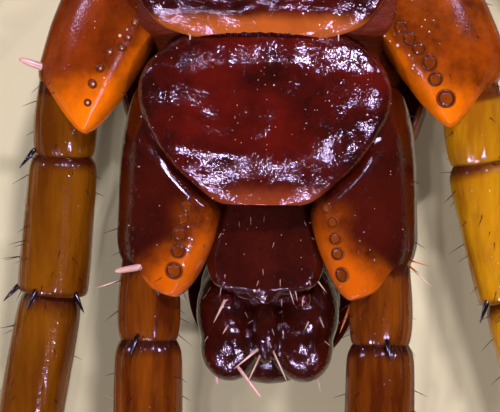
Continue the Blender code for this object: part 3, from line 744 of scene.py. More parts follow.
def trunk_skin():
    """One soft skin under all the plates, from the neck to the last segment."""
    rings = []
    for number in range(1, SEGMENTS + 1):
        length = SEGMENT_LENGTHS[number - 1]
        wide = TERGITE_HALF_WIDTHS[number - 1]
        plate = STERNITE_HALF_WIDTHS[number - 1]
        for f in (0.96, 0.8, 0.6, 0.4, 0.2, 0.04):
            pinch = 0.05 * abs(2.0 * f - 1.0) ** 3
            high = height_at(number, f)
            pleura = min(0.80 * wide, wide - 0.16) - pinch
            shoulder = 0.66 if number >= 13 else 0.78
            inner, top = (0.70, 0.80) if number == SEGMENTS else (0.86, 0.88)
            half = ((0.0, 0.10), (0.44 * wide, 0.10), (0.76 * wide, 0.16), (0.90 * wide, 0.22 * high),
                    (0.88 * wide, 0.36 * high), (pleura, 0.56 * high),
                    (lerp(plate, pleura, 0.6), shoulder * high),
                    (inner * plate, top * high - pinch), (0.45 * plate, (top + 0.03) * high - pinch),
                    (0.0, (top + 0.04) * high - pinch))
            rings.append([tuple(PLACES[number] @ Vector(p)) for p in mirrored(half, f * length)])
    rings = closed_rings(rings)

    def shape(t, v):
        k = v * (len(rings) - 1)
        n = min(int(k), len(rings) - 2)
        return tuple(lerp(along(rings[n], t), along(rings[n + 1], t), k - n))

    skin = wrapped_skin("trunk_skin", 48, 2 * (len(rings) - 1), shape, levels=1)
    nodes = [f"segment_{n:02d}" for n in range(1, SEGMENTS + 1)]
    settle(skin, SKIN, None, nodes)


# Hip plates

def hip_stations(number, side):
    """Inner edge, outer edge, level and half-height of each section of a hip plate, as on the right side."""
    if number == 15:
        return (
            ((0.62, 0.95), (1.02, 0.93), 0.97, 0.26),
            ((0.70, 0.62), (1.12, 0.66), 0.97, 0.29),
            ((0.62, 0.36), (1.16, 0.40), 0.97, 0.31),
            ((0.45, 0.16), (1.17, 0.18), 0.97, 0.32),
            ((0.35, -0.03), (1.175, 0.00), 0.97, 0.33),
            ((0.385, -0.24), (1.18, -0.16), 0.97, 0.33),
            ((0.46, -0.44), (1.18, -0.28), 0.98, 0.31),
            ((0.53, -0.58), (1.15, -0.41), 1.02, 0.26),
            ((0.595, -0.67), (1.08, -0.53), 1.07, 0.20),
            ((0.66, -0.72), (0.98, -0.62), 1.11, 0.15),
        )
    if number == 14 and side < 0:
        return (
            ((0.60, 0.80), (1.28, 0.78), 0.95, 0.28),
            ((0.72, 0.42), (1.54, 0.52), 0.94, 0.34),
            ((0.84, 0.10), (1.71, 0.16), 0.93, 0.37),
            ((0.96, -0.17), (1.80, -0.14), 0.92, 0.37),
            ((1.10, -0.41), (1.83, -0.31), 0.92, 0.35),
            ((1.23, -0.60), (1.77, -0.45), 0.95, 0.30),
            ((1.33, -0.72), (1.66, -0.59), 1.00, 0.22),
            ((1.40, -0.77), (1.54, -0.70), 1.05, 0.15),
        )
    if number == 14:
        return (
            ((0.58, 0.80), (1.28, 0.78), 0.95, 0.28),
            ((0.69, 0.42), (1.56, 0.52), 0.94, 0.34),
            ((0.80, 0.10), (1.75, 0.16), 0.93, 0.37),
            ((0.93, -0.15), (1.83, -0.08), 0.92, 0.37),
            ((1.09, -0.37), (1.83, -0.23), 0.91, 0.35),
            ((1.23, -0.54), (1.76, -0.36), 0.94, 0.30),
            ((1.34, -0.64), (1.65, -0.50), 1.00, 0.22),
            ((1.41, -0.68), (1.54, -0.60), 1.05, 0.15),
        )
    length, wide, high = SEGMENT_LENGTHS[number - 1], TERGITE_HALF_WIDTHS[number - 1], HEIGHTS[number - 1]
    end = hip_end(number)
    out = direction(leg_azimuth(number), 0.0, 1.0)
    across = Vector((-out.y, out.x, 0.0))
    middles = (
        (Vector((0.56 * wide, 0.50 * length, 0.0)), 0.50, 0.62 * high, 0.28),
        (Vector((0.78 * wide, 0.49 * length, 0.0)), 0.47, 0.64 * high, 0.33),
        (end.lerp(Vector((0.78 * wide, 0.49 * length, 0.0)), 0.55), 0.44, 0.63 * high, 0.35),
        (end.lerp(Vector((0.78 * wide, 0.49 * length, 0.0)), 0.2), 0.37, 0.61 * high, 0.32),
        (end + out * 0.02, 0.31, 0.60 * high, 0.28),
    )
    stations = []
    for middle, half, level, height in middles:
        inner, outer = middle - across * half, middle + across * half
        stations.append(((inner.x, inner.y), (outer.x, outer.y), level, height))
    return tuple(stations)


def hip_plate(number, side):
    """The coxa: a rounded sleeve drawn back from the side of the belly, whose lip turns in round the leg."""
    stations = hip_stations(number, side)
    hero = number >= 14
    rows_of = [np.array((*inner, *outer, level, height)) for inner, outer, level, height in stations]
    last, before = rows_of[-1], rows_of[-2]
    drawn = 0.5 * (last[:2] + last[2:4]) - 0.5 * (before[:2] + before[2:4])
    drawn = drawn / np.linalg.norm(drawn)
    lip = []
    turns_in = ((0.93, 0.022, 0.93), (0.84, 0.0, 0.84), (0.80, -0.10, 0.80), (0.02, -0.22, 0.02))
    if hero:
        turns_in = ((0.72, 0.018, 0.72), (0.36, 0.026, 0.36), (0.02, 0.028, 0.02))
    for shrink, push, squeeze in turns_in:
        middle = 0.5 * (last[:2] + last[2:4]) + drawn * push
        half = 0.5 * (last[2:4] - last[:2]) * shrink
        lip.append(np.array((*(middle - half), *(middle + half), last[4], last[5] * squeeze)))
    first = rows_of[0].copy()
    centre = 0.5 * (first[:2] + first[2:4])
    first[:2] = centre
    first[2:4] = centre
    first[5] = 0.0
    sections = [first] + rows_of + lip
    sections[-1][5] = 0.0
    sections[-1][:2] = sections[-1][2:4] = 0.5 * (sections[-1][:2] + sections[-1][2:4])
    flat = 0.88 if hero else 0.95
    ends = len(sections) - 1
    plate_y, plate_half = zip(*belly_outline(SEGMENTS))

    def shape(t, v):
        x0, y0, x1, y1, level, height = along(sections, v)
        turn = 2.0 * math.pi * t
        c, s = math.cos(turn), math.sin(turn)
        c = math.copysign(abs(c) ** 0.85, c)
        s = math.copysign(abs(s) ** flat, s)
        lean = 0.06 * min(1.0, math.hypot(x1 - x0, y1 - y0) / 0.2) if hero else 0.0
        x, y = 0.5 * (x0 + x1) + 0.5 * (x1 - x0) * c, 0.5 * (y0 + y1) + 0.5 * (y1 - y0) * c
        z = level + height * s - lean * c * (1.0 + s)
        if number == SEGMENTS and s > 0.0:
            off = math.hypot(0.78 * max(0.0, x - np.interp(y, plate_y, plate_half)), min(0.0, y))
            z -= VALLEY_DEPTH[side] * max(0.0, 1.0 - off / VALLEY_WIDTH[side]) * smooth((0.60 - y) / 0.16)
        return (side * x, y, z)

    def tone(t, v):
        x, y, _ = shape(t, v)
        x = abs(x)
        if not hero and v * ends > ends - len(lip):
            return 0.9
        if number == 15:
            depth = -0.03 - 0.70 * (x - 0.40) - y
            strip = 0.26 * smooth((0.76 - x) / 0.2) * smooth((0.10 - y) / 0.2)
            return max(0.30 * smooth((depth + 0.05) / 0.14) + 0.70 * smooth((depth - 0.06) / 0.24), strip)
        if number == 14:
            line = -0.10 - 0.22 * (x - 1.0)
            inner_edge = lerp(0.84, 1.33, (0.10 - y) / 0.75)
            edge = 0.55 * smooth((inner_edge + 0.12 - x) / 0.12)
            # The right hip of pair 14 starts paler all over than the left: painted light on that side.
            base = 0.02 if side < 0 else 0.14
            return max(base + (1.0 - base) * smooth((line - y) / 0.45), edge + 0.06)
        return smooth((v - 0.45) / 0.4)

    columns, rows = (60, 72) if hero else (24, 26)
    plate = wrapped_skin(f"hip_plate_{number:02d}_{SIDES[side]}", columns, rows, shape, tone, 1)
    finish = {15: LAST_HIP, 14: AMBER}.get(number, HIP)
    return settle(plate, finish, PLACES[number])


# Legs

def article_masters(sides, levels):
    """The long article, tarsus and claw, drawn out once and copied along every leg."""
    long_article = ((-0.06, 0.66), (0.0, 0.80), (0.03, 0.88), (0.08, 0.935), (0.20, 0.955), (0.50, 0.97),
                    (0.75, 0.99), (0.93, 0.99), (0.975, 0.965), (0.995, 0.91), (0.99, 0.80), (0.95, 0.6))
    slim_article = ((-0.03, 0.66), (0.0, 0.84), (0.04, 0.91), (0.20, 0.97), (0.60, 0.93), (0.94, 0.90),
                    (0.985, 0.87), (0.995, 0.78), (0.96, 0.5))
    stub = ((-0.35, 0.80), (-0.1, 0.87), (0.15, 0.93), (0.40, 0.98), (0.60, 1.0), (0.78, 0.985), (0.92, 0.94),
            (0.985, 0.885), (0.995, 0.80), (0.93, 0.7))
    claw = ((0.0, 0.9, 0.0), (0.15, 1.0, 0.0), (0.4, 0.8, -0.1), (0.65, 0.55, -0.5), (0.85, 0.3, -1.1),
            (1.0, 0.05, -1.9))
    masters = {}
    for name, rings in (("long", long_article), ("slim", slim_article), ("stub", stub)):
        masters[name] = drawn_out(f"master_{name}", rings, sides, levels)
    masters["claw"] = drawn_out("master_claw", claw, 8, levels)
    for master in masters.values():
        places = [v.co.z for v in master.data.vertices]
        set_tone(master, [max(smooth((0.10 - z) / 0.10), 0.8 * smooth((z - 0.93) / 0.05)) for z in places])
    return masters


ARTICLE_KINDS = ("stub", "long", "long", "long", "slim", "slim", "claw")


def leg(number, side, masters):
    joints = leg_joints(number, side)
    thick = REAR_THICKNESS.get(number, 1.0)
    pieces = []
    for k, kind in enumerate(ARTICLE_KINDS):
        start, end = joints[k], joints[k + 1]
        aim = end - start
        if k == 0:
            start = start - aim.normalized() * LEG_ROOT_SINK
            aim = end - start
        radius = ARTICLE_RADII[k] * thick * (0.97 if k else 0.92)
        if kind == "claw":
            radius = 0.055 * thick
        matrix = pointing(start, aim, radius, radius, aim.length)
        pieces.append(copy_of(masters[kind], "article", matrix))
    word = SIDES[side]
    whole = joined(f"leg_{number:02d}_{word}_skin", pieces)
    # Pair 14: the right leg takes the paler copy, a painted light.
    finish = {15: LAST_LEG, 14: REAR_LEG_PAINTED_LIT if side > 0 else REAR_LEG}.get(number, LEG)
    return settle(whole, finish, PLACES[number], (f"leg_{number:02d}_{word}",))


def leg_thorns(master):
    """The dark spurs round the far ends of the long articles: all legs have some, the rear legs most."""
    spots = []
    for number in range(1, SEGMENTS + 1):
        thick = REAR_THICKNESS.get(number, 1.0)
        for side in SIDES:
            joints = leg_joints(number, side)
            rear = number in REAR_LEGS
            rings = {1: (FIRST_THORN_ANGLE[number],), **REAR_THORN_ANGLES} if rear else THORN_ANGLES
            for k, angles in rings.items():
                step = (joints[k] - joints[k - 1]).normalized()
                across = step.cross(Vector((0.0, 0.0, 1.0))).normalized()
                up = across.cross(step)
                radius = ARTICLE_RADII[k - 1] * thick
                for angle in angles:
                    out = -side * across * math.cos(math.radians(angle)) + up * math.sin(math.radians(angle))
                    root = joints[k] - step * 0.06 + out * 0.86 * radius
                    length = REAR_THORN_LENGTH if rear else THORN_LENGTH
                    aim = (step + out * 0.85).normalized()
                    local = pointing(root, aim, THORN_RADIUS, THORN_RADIUS, length)
                    spots.append(PLACES[number] @ local)
    settle(repeated("leg_thorns", master, spots), THORN)


def sprinkled(piece, count, size, lean, seed, least_up=-2.0):
    """Bristle frames scattered over a settled piece by the area of its faces, leaning one way, where a face
    looks up by more than the least share. Size is the length and the radius."""
    draw = random.Random(seed)
    mesh = piece.data
    areas = np.array([p.area for p in mesh.polygons])
    picks = np.random.default_rng(seed).choice(len(areas), size=count, p=areas / areas.sum())
    frames = []
    for pick in picks:
        face = mesh.polygons[int(pick)]
        corner = mesh.vertices[face.vertices[draw.randrange(len(face.vertices))]].co
        root = face.center.lerp(corner, draw.random() * 0.9)
        if face.normal.z <= least_up:
            continue
        aim = face.normal + lean + Vector([draw.uniform(-0.25, 0.25) for _ in range(3)])
        length = size[0] * draw.uniform(0.6, 1.3)
        frames.append(pointing(root / MM - face.normal * 0.01, aim, size[1], size[1], length))
    return frames


# Tail

def terminal_skin():
    """The genital region and anal valves: soft dark lobes grown together behind the last belly plate."""
    lobes = [
        ((0.0, -0.75, 0.50), (0.57, 0.68, 0.24)),
        ((0.0, -0.35, 0.70), (0.44, 0.42, 0.34)),
        ((0.0, -0.96, 0.80), (0.11, 0.30, 0.11)),
    ]
    for side in SIDES:
        lobes += [
            ((side * 0.30, -0.73, 0.94), (0.07, 0.075, 0.08)),
            ((side * 0.34, -0.84, 0.68), (0.23, 0.36, 0.17)),
            ((side * 0.29, -1.12, 0.70), (0.24, 0.28, 0.16)),
            ((side * 0.30 + 0.02, -1.05, 0.80), (0.12, 0.15, 0.09)),
        ]
    pieces = []
    for centre, size in lobes:
        clear_selection()
        bpy.ops.mesh.primitive_uv_sphere_add(segments=24, ring_count=16, radius=1.0,
                                             location=centre, scale=size)
        bpy.ops.object.transform_apply(location=True, rotation=False, scale=True)
        pieces.append(steady(named("lobe")))
    body = joined("genital_lobes", pieces)
    apply_modifier(body, "REMESH", mode="VOXEL", voxel_size=0.022)
    apply_modifier(body, "SMOOTH", factor=0.5, iterations=9)
    set_tone(body, [smooth(1.6 - (Vector((abs(v.co.x) - 0.30, v.co.y + 0.75, v.co.z - 0.98)).length / 0.08))
                    for v in body.data.vertices])
    settle(body, DARK_RED, TAIL, ("terminal_segments",))

    def shape(u, f):
        y = lerp(-1.30, -0.12, f)
        half = 0.70 * math.sqrt(1.0 - 0.8 * (max(0.0, 0.55 - f) / 0.55) ** 2)
        return (u * half, y - 0.07 * (1.0 - u * u) * (1.0 - f), 0.05 + 0.16 * abs(u) ** 2.5)

    def tone(u, f):
        return 0.6 * (1.0 - smooth(f / 0.2))

    plate = pressed_plate("last_back_plate", 20, 12, shape, tone, (0, 0, -1))
    settle(plate, LAST_BACK, TAIL, (), RIM_DEG)

    outline = ((-0.77, 0.05), (-0.74, 0.17), (-0.68, 0.31), (-0.60, 0.42), (-0.45, 0.465), (-0.25, 0.42),
               (-0.05, 0.36), (0.16, 0.30))

    def shield(u, f):
        y, half = along(outline, f)
        behind = max(0.0, -0.655 - y)
        share = min(1.0, behind / 0.115)
        groove = 0.12 * (1.0 - 0.75 * share)
        boss = 0.42 * behind + 0.06 * smooth((abs(u) * half - groove) / 0.04) * smooth(share / 0.3)
        ridge = math.exp(-(u * half / 0.12) ** 2) * smooth((-0.30 - y) / 0.35)
        rim = 0.05 * smooth((abs(u) - 0.82) / 0.18)
        return (u * half, y, 1.11 - 0.035 * abs(u) ** 2.2 - rim - boss + 0.03 * ridge)

    genital = pressed_plate("genital_shield", 40, 36, shield, lambda u, f: 0.0, (0, 0, 1))
    settle(genital, DARK_RED, TAIL, (), RIM_DEG)
    return body, genital


# Pores of the last hip plates, as pixels of the photograph: left and right of pair 15, then of pair 14.
PORE_PIXELS = {
    (15, -1): ((186.6, 208, 11), (183.4, 220, 12), (180.2, 235.5, 14), (178.6, 252, 14), (174.6, 272, 15)),
    (15, 1): ((326.5, 207, 10), (333, 221, 11), (336, 237, 13), (338.5, 252, 12), (343, 273, 14)),
    (14, 1): ((388, 13.5, 11), (397.5, 24.7, 13), (407, 36, 14), (416, 46, 13), (427, 60, 15),
              (433, 76.5, 14), (444, 95.7, 16)),
    (14, -1): ((131, 24, 9), (124, 39, 9), (118, 49, 9), (106, 54, 8), (97, 70, 9), (89, 86, 9),
               (84.5, 105, 8)),
}


def at_pixel(px, py):
    """The place that a pixel of the photograph shows, at the level of the last belly plate."""
    x, y = (px - LAST_PLATE_REAR_PX[0]) / PX_PER_MM, (LAST_PLATE_REAR_PX[1] - py) / PX_PER_MM
    return TAIL @ Vector((x, y, BELLY_LEVEL))


def beside(px, py, level, camera_at):
    """The place at a level above the floor that the photograph shows at a pixel."""
    return camera_at.lerp(at_pixel(px, py), (camera_at.z - level) / (camera_at.z - BELLY_LEVEL))


def tree_of(piece):
    points = [v.co / MM for v in piece.data.vertices]
    return BVHTree.FromPolygons(points, [tuple(p.vertices) for p in piece.data.polygons])


def seen_from_camera(tree, px, py, camera_at):
    """The point and normal where the line from the camera through a pixel meets a piece."""
    return tree.ray_cast(camera_at, (at_pixel(px, py) - camera_at).normalized())[:2]


def pores(hips, camera_at):
    """Low round craters in a row on each of the last hip plates, largest at the far end, with a painted shade
    on their walls.
    """
    crater = drawn_out("master_pore", (
        (-0.45, 1.28), (0.06, 1.12), (0.30, 0.97), (0.30, 0.86), (0.14, 0.74), (0.06, 0.50),
        (0.04, 0.03)), 20)
    reach = [math.hypot(v.co.x, v.co.y) for v in crater.data.vertices]
    # A thin ring on the crater wall takes the dark thin colour: painted shade in the pore.
    set_tone(crater, [math.exp(-((r - 0.84) / 0.09) ** 2) for r in reach])
    pieces = []
    draw = random.Random(SEED)
    for key, spots in PORE_PIXELS.items():
        tree = tree_of(hips[key])
        for px, py, wide in spots:
            point, normal = seen_from_camera(tree, px, py, camera_at)
            if point is None:
                continue
            radius = 0.5 * wide / PX_PER_MM
            wide, tall = radius * draw.uniform(0.9, 1.08), radius * draw.uniform(0.9, 1.12)
            pieces.append(copy_of(crater, "pore", pointing(point, normal, wide, tall, 0.5 * radius)))
    settle(joined("hip_pores", pieces), PORE_PAINTED_SHADE)
    bpy.data.objects.remove(crater)


# Head

def head_shape(stations, half_of):
    """A surface through flat sections, mirrored from right halves, drawn to a point at both ends."""
    rings = closed_rings([mirrored(half_of(*sizes), y) for y, *sizes in stations])

    def shape(t, v):
        k = v * (len(rings) - 1)
        n = min(int(k), len(rings) - 2)
        nearby = (along(rings[min(len(rings) - 1, max(0, m))], t) for m in (n - 1, n, n + 1, n + 2))
        return tuple(spline(*nearby, k - n))

    return shape


def head():
    def half_of(wide, low, high):
        return ((0.0, low), (0.46 * wide, low), (0.82 * wide, low + 0.07), (wide, low + 0.24),
                (0.97 * wide, lerp(low, high, 0.58)), (0.80 * wide, lerp(low, high, 0.88)),
                (0.46 * wide, high), (0.0, high))

    shield = wrapped_skin("head_shield", 44, 40, head_shape((
        (0.16, 0.70, 0.06, 0.62), (0.50, 1.30, 0.02, 0.84), (1.10, 1.58, 0.01, 0.94),
        (1.75, 1.61, 0.01, 0.97), (2.35, 1.44, 0.02, 0.95), (2.85, 1.08, 0.08, 0.89),
        (3.10, 0.72, 0.18, 0.78), (3.21, 0.40, 0.28, 0.64)),
        half_of), levels=1)
    settle(shield, HEAD_SHIELD, PLACES[0], ("head",))

    def half_of_base(wide, low, high):
        return ((0.0, low), (0.8 * wide, low + 0.03), (wide, lerp(low, high, 0.35)),
                (0.97 * wide, lerp(low, high, 0.65)), (0.75 * wide, lerp(low, high, 0.92)),
                (0.30 * wide, high), (0.0, high - 0.05))

    base = wrapped_skin("fang_base", 40, 30, head_shape((
        (0.06, 0.80, 1.06, 1.52), (0.30, 1.02, 1.06, 1.66), (0.80, 1.06, 1.08, 1.74),
        (1.30, 0.82, 1.08, 1.72), (1.70, 0.56, 1.10, 1.64), (1.84, 0.46, 1.16, 1.54)),
        half_of_base), levels=1)
    settle(base, FANG_BASE, PLACES[0], ("forcipular_segment",))
    tooth = drawn_out("master_tooth", ((0.0, 1.0), (0.5, 0.85), (0.85, 0.5), (1.0, 0.1)), 8)
    spots = []
    for side in SIDES:
        for k in range(5):
            x = side * (0.07 + 0.085 * k)
            length = 0.2 - 0.012 * k
            spots.append(PLACES[0] @ pointing((x, 1.72, 1.47), (0.15 * x, 1.0, 0.05), 0.042, 0.042, length))
    settle(repeated("fang_base_teeth", tooth, spots), THORN)
    bpy.data.objects.remove(tooth)


def bezier(a, b, c, d, t):
    u = 1.0 - t
    return a * u * u * u + b * 3 * u * u * t + c * 3 * u * t * t + d * t * t * t


def swept(line, radius_at, flatten):
    """A surface round a curve through four handles, with its radius along the way."""
    def shape(t, v):
        here = bezier(*line, v)
        ahead = (bezier(*line, min(1.0, v + 0.01)) - bezier(*line, max(0.0, v - 0.01))).normalized()
        across = ahead.cross(Vector((0.0, 0.0, 1.0))).normalized()
        up = across.cross(ahead)
        turn = 2.0 * math.pi * t
        radius = radius_at(v)
        return here + across * radius * math.cos(turn) + up * radius * flatten * math.sin(turn)
    return shape


def fang(side):
    """The poison fang: a stout first article, two narrow rings, and a curved claw with a dark point."""
    handles = (1.22, 0.66, 1.40), (1.86, 1.72, 1.46), (1.20, 2.66, 1.58), (0.12, 2.58, 1.54)
    line = [Vector((side * x, y, z)) for x, y, z in handles]
    sizes = (0.02, 0.27, 0.35, 0.37, 0.355, 0.33, 0.27, 0.21, 0.15, 0.085, 0.02)

    def radius_at(v):
        pinch = sum(0.045 * math.exp(-((v - joint) / 0.012) ** 2) for joint in (0.43, 0.51, 0.59))
        return float(along([(s,) for s in sizes], v)[0]) - pinch

    word = SIDES[side]
    piece = wrapped_skin(f"fang_{word}", 24, 64, swept(line, radius_at, 0.85),
                         lambda t, v: smooth((v - 0.72) / 0.22), 1)
    settle(piece, FANG, PLACES[0], (f"forcipule_{word}",))


def mouth():
    """The lobes and palps of the jaws under the fangs."""
    pieces = []
    for side in SIDES:
        for line, radius in (
            (((0.10, 1.98, 1.15), (0.20, 2.20, 1.17), (0.16, 2.42, 1.16), (0.06, 2.58, 1.12)), 0.11),
            (((0.34, 1.98, 1.13), (0.52, 2.22, 1.14), (0.44, 2.52, 1.14), (0.24, 2.62, 1.10)), 0.10),
        ):
            points = [Vector((side * x, y, z)) for x, y, z in line]

            def radius_at(v, r=radius):
                return r * math.sin(math.pi * min(1.0, max(0.0, v))) ** 0.35 + 0.001

            pieces.append(wrapped_skin("palp", 14, 22, swept(points, radius_at, 0.8)))
    settle(joined("mouth_palps", pieces), AMBER, PLACES[0], ("mouthparts",))


def ball(name, segments, rings, radius=1.0):
    clear_selection()
    bpy.ops.mesh.primitive_uv_sphere_add(segments=segments, ring_count=rings, radius=radius)
    return steady(named(name))


def eyes():
    """One oval field of single eyes on each side of the head."""
    for side in SIDES:
        centre = Vector((side * 1.30, 2.36, 0.44))
        out = Vector((side * 0.93, 0.36, -0.05)).normalized()
        across = out.cross(Vector((0.0, 0.0, 1.0))).normalized()
        up = across.cross(out)
        turn = Matrix((-across, up, out)).transposed().to_4x4()
        field = ball("eye_field", 28, 14)
        field.data.transform(Matrix.Translation(centre) @ turn @ Matrix.Diagonal((0.33, 0.22, 0.10, 1.0)))
        pieces = [field]
        for row, count in ((-0.09, 3), (0.0, 4), (0.09, 3)):
            for k in range(count):
                u = 0.105 * (k - 0.5 * (count - 1))
                sink = 0.09 * math.sqrt(max(0.0, 1.0 - (u / 0.33) ** 2 - (row / 0.22) ** 2))
                dome = ball("dome", 16, 10, 0.054)
                dome.data.transform(Matrix.Translation(centre + across * u + up * row + out * sink))
                pieces.append(dome)
        word = SIDES[side]
        settle(joined(f"eye_field_{word}", pieces), EYE, PLACES[0], (f"eye_{word}",))


def antenna_line(side):
    root = Vector((side * 0.62, 3.30, 0.52))
    if side > 0:
        return root, Vector((1.9, 8.0, 0.95)), Vector((5.6, 11.6, 0.75)), Vector((7.6, 15.0, 0.32))
    return root, Vector((-1.4, 7.6, 1.00)), Vector((-4.8, 12.4, 0.70)), Vector((-5.0, 16.6, 0.30))


def antennae(bristle):
    """Feelers of many short articles, each a little cup that holds the next, with fine hairs all round."""
    article = drawn_out("master_antenna_article", (
        (-0.12, 0.60), (0.0, 0.74), (0.14, 0.86), (0.45, 0.98), (0.72, 1.0), (0.88, 0.92), (0.90, 0.60)), 12)
    places = [v.co.z for v in article.data.vertices]
    set_tone(article, [smooth((0.15 - z) / 0.15) for z in places])
    for side in SIDES:
        line = antenna_line(side)
        fine = [bezier(*line, k / 400) for k in range(401)]
        lengths = np.concatenate([[0.0], np.cumsum([(b - a).length for a, b in zip(fine, fine[1:])])])

        def at(share):
            return fine[int(np.argmin(np.abs(lengths - share * lengths[-1])))]

        pieces, hairs = [], []
        draw = random.Random(SEED + side)
        for k in range(ANTENNA_ARTICLES):
            share = k / ANTENNA_ARTICLES
            start, end = at(share), at(share + 1.0 / ANTENNA_ARTICLES)
            radius = lerp(ANTENNA_ROOT_RADIUS, ANTENNA_TIP_RADIUS, share ** 0.8)
            aim = end - start
            if k == 0:
                start = start - aim.normalized() * ANTENNA_ROOT_SINK
            matrix = pointing(start, aim, radius, radius, (end - start).length)
            pieces.append(copy_of(article, "article", matrix))
            for _ in range(ARTICLE_HAIRS):
                turn, place = draw.uniform(0.0, 2.0 * math.pi), draw.uniform(0.25, 0.9)
                across = aim.cross(Vector((0.0, 0.0, 1.0))).normalized()
                up = across.cross(aim).normalized()
                out = across * math.cos(turn) + up * math.sin(turn)
                root = start.lerp(end, place) + out * radius * 0.93
                hairs.append(PLACES[0] @ pointing(root, out * 0.7 + aim.normalized(), ARTICLE_HAIR_RADIUS,
                                                  ARTICLE_HAIR_RADIUS, draw.uniform(0.09, 0.17)))
        word = SIDES[side]
        settle(joined(f"antenna_{word}_skin", pieces), FEELER, PLACES[0],
               (f"antenna_{word}",))
        settle(repeated(f"antenna_{word}_hairs", bristle, hairs), PALE_BRISTLE)
    bpy.data.objects.remove(article)


# Stage, light and camera

def camera():
    """A long lens that looks down on the tail, leaning a little to the right."""
    target = at_pixel(0.5 * PHOTO_WIDTH_PX, PHOTO_MIDDLE_ROW_PX)
    lean = math.radians(CAMERA_LEAN_DEG)
    away = Vector((math.sin(lean), 0.0, math.cos(lean)))
    place = target + away * CAMERA_DISTANCE
    data = bpy.data.cameras.new("camera")
    data.sensor_width = SENSOR_MM
    data.lens = SENSOR_MM * CAMERA_DISTANCE / (PHOTO_WIDTH_PX / PX_PER_MM)
    data.clip_start = 0.5 * MM
    data.clip_end = 5.0
    obj = bpy.data.objects.new("camera", data)
    bpy.context.scene.collection.objects.link(obj)
    turn = Matrix.Rotation(lean, 3, "Y") @ Matrix.Rotation(math.radians(CAMERA_ROLL_DEG), 3, "Z")
    obj.matrix_world = Matrix.Translation(place * MM) @ turn.to_4x4()
    bpy.context.scene.camera = obj
    return place


def softbox(name, place, size, power):
    """A soft light that faces the tail. Place and size are in millimetres."""
    data = bpy.data.lights.new(name, "AREA")
    data.shape = "ELLIPSE"
    data.size, data.size_y = size[0] * MM, size[1] * MM
    data.energy = power
    data.color = linear(FLASH)[:3]
    obj = bpy.data.objects.new(name, data)
    bpy.context.scene.collection.objects.link(obj)
    target = TAIL @ Vector((0.0, 0.4, 1.0))
    spot = target + Vector(place)
    aim = (target - spot).normalized()
    obj.matrix_world = Matrix.Translation(spot * MM) @ aim.to_track_quat("-Z", "Y").to_matrix().to_4x4()


def stage():
    clear_selection()
    bpy.ops.mesh.primitive_plane_add(size=FLOOR_SIZE_M)
    ground = named("floor")
    ground.data.materials.append(floor_finish())
    world = bpy.data.worlds.new("studio")
    world.use_nodes = True
    sky = world.node_tree.nodes["Background"]
    sky.inputs["Color"].default_value = linear("#cfd2d8")
    sky.inputs["Strength"].default_value = WORLD_STRENGTH
    bpy.context.scene.world = world
    for name, setting in SOFTBOXES.items():
        softbox(name, *setting)
    bpy.context.scene.view_settings.view_transform = "Standard"


def build():
    stage()
    camera_at = camera()
    trunk_skin()
    plates = {}
    for number in range(1, SEGMENTS + 1):
        back_plate(number)
        plates[number] = belly_plate(number)
    hips = {(n, side): hip_plate(n, side) for n in range(1, SEGMENTS + 1) for side in SIDES}
    ordinary, rear = article_masters(14, 1), article_masters(20, 2)
    legs = {}
    for number in range(1, SEGMENTS + 1):
        for side in SIDES:
            legs[number, side] = leg(number, side, rear if number in REAR_LEGS else ordinary)
    for master in (*ordinary.values(), *rear.values()):
        bpy.data.objects.remove(master)
    thorn = drawn_out("master_thorn", ((-0.1, 1.0), (0.3, 0.9), (0.65, 0.55, 0.4), (1.0, 0.06, 1.2)), 6)
    leg_thorns(thorn)
    bpy.data.objects.remove(thorn)
    tail = terminal_skin()
    pores(hips, camera_at)
    head()
    for side in SIDES:
        fang(side)
    mouth()
    eyes()
    bristle = drawn_out("master_bristle", (
        (0.0, 1.0), (0.4, 0.8, 0.6), (0.75, 0.5, 1.4), (1.0, 0.08, 2.4)), 3, 0)
    antennae(bristle)
    bristles(bristle, plates, hips, legs, tail)
    sockets_and_painted_glints(plates, hips, tail, camera_at)
    fringe_with_painted_shadow(bristle, camera_at)
    seen_bristles(bristle, plates, hips, legs, tail, camera_at)
    bpy.data.objects.remove(bristle)


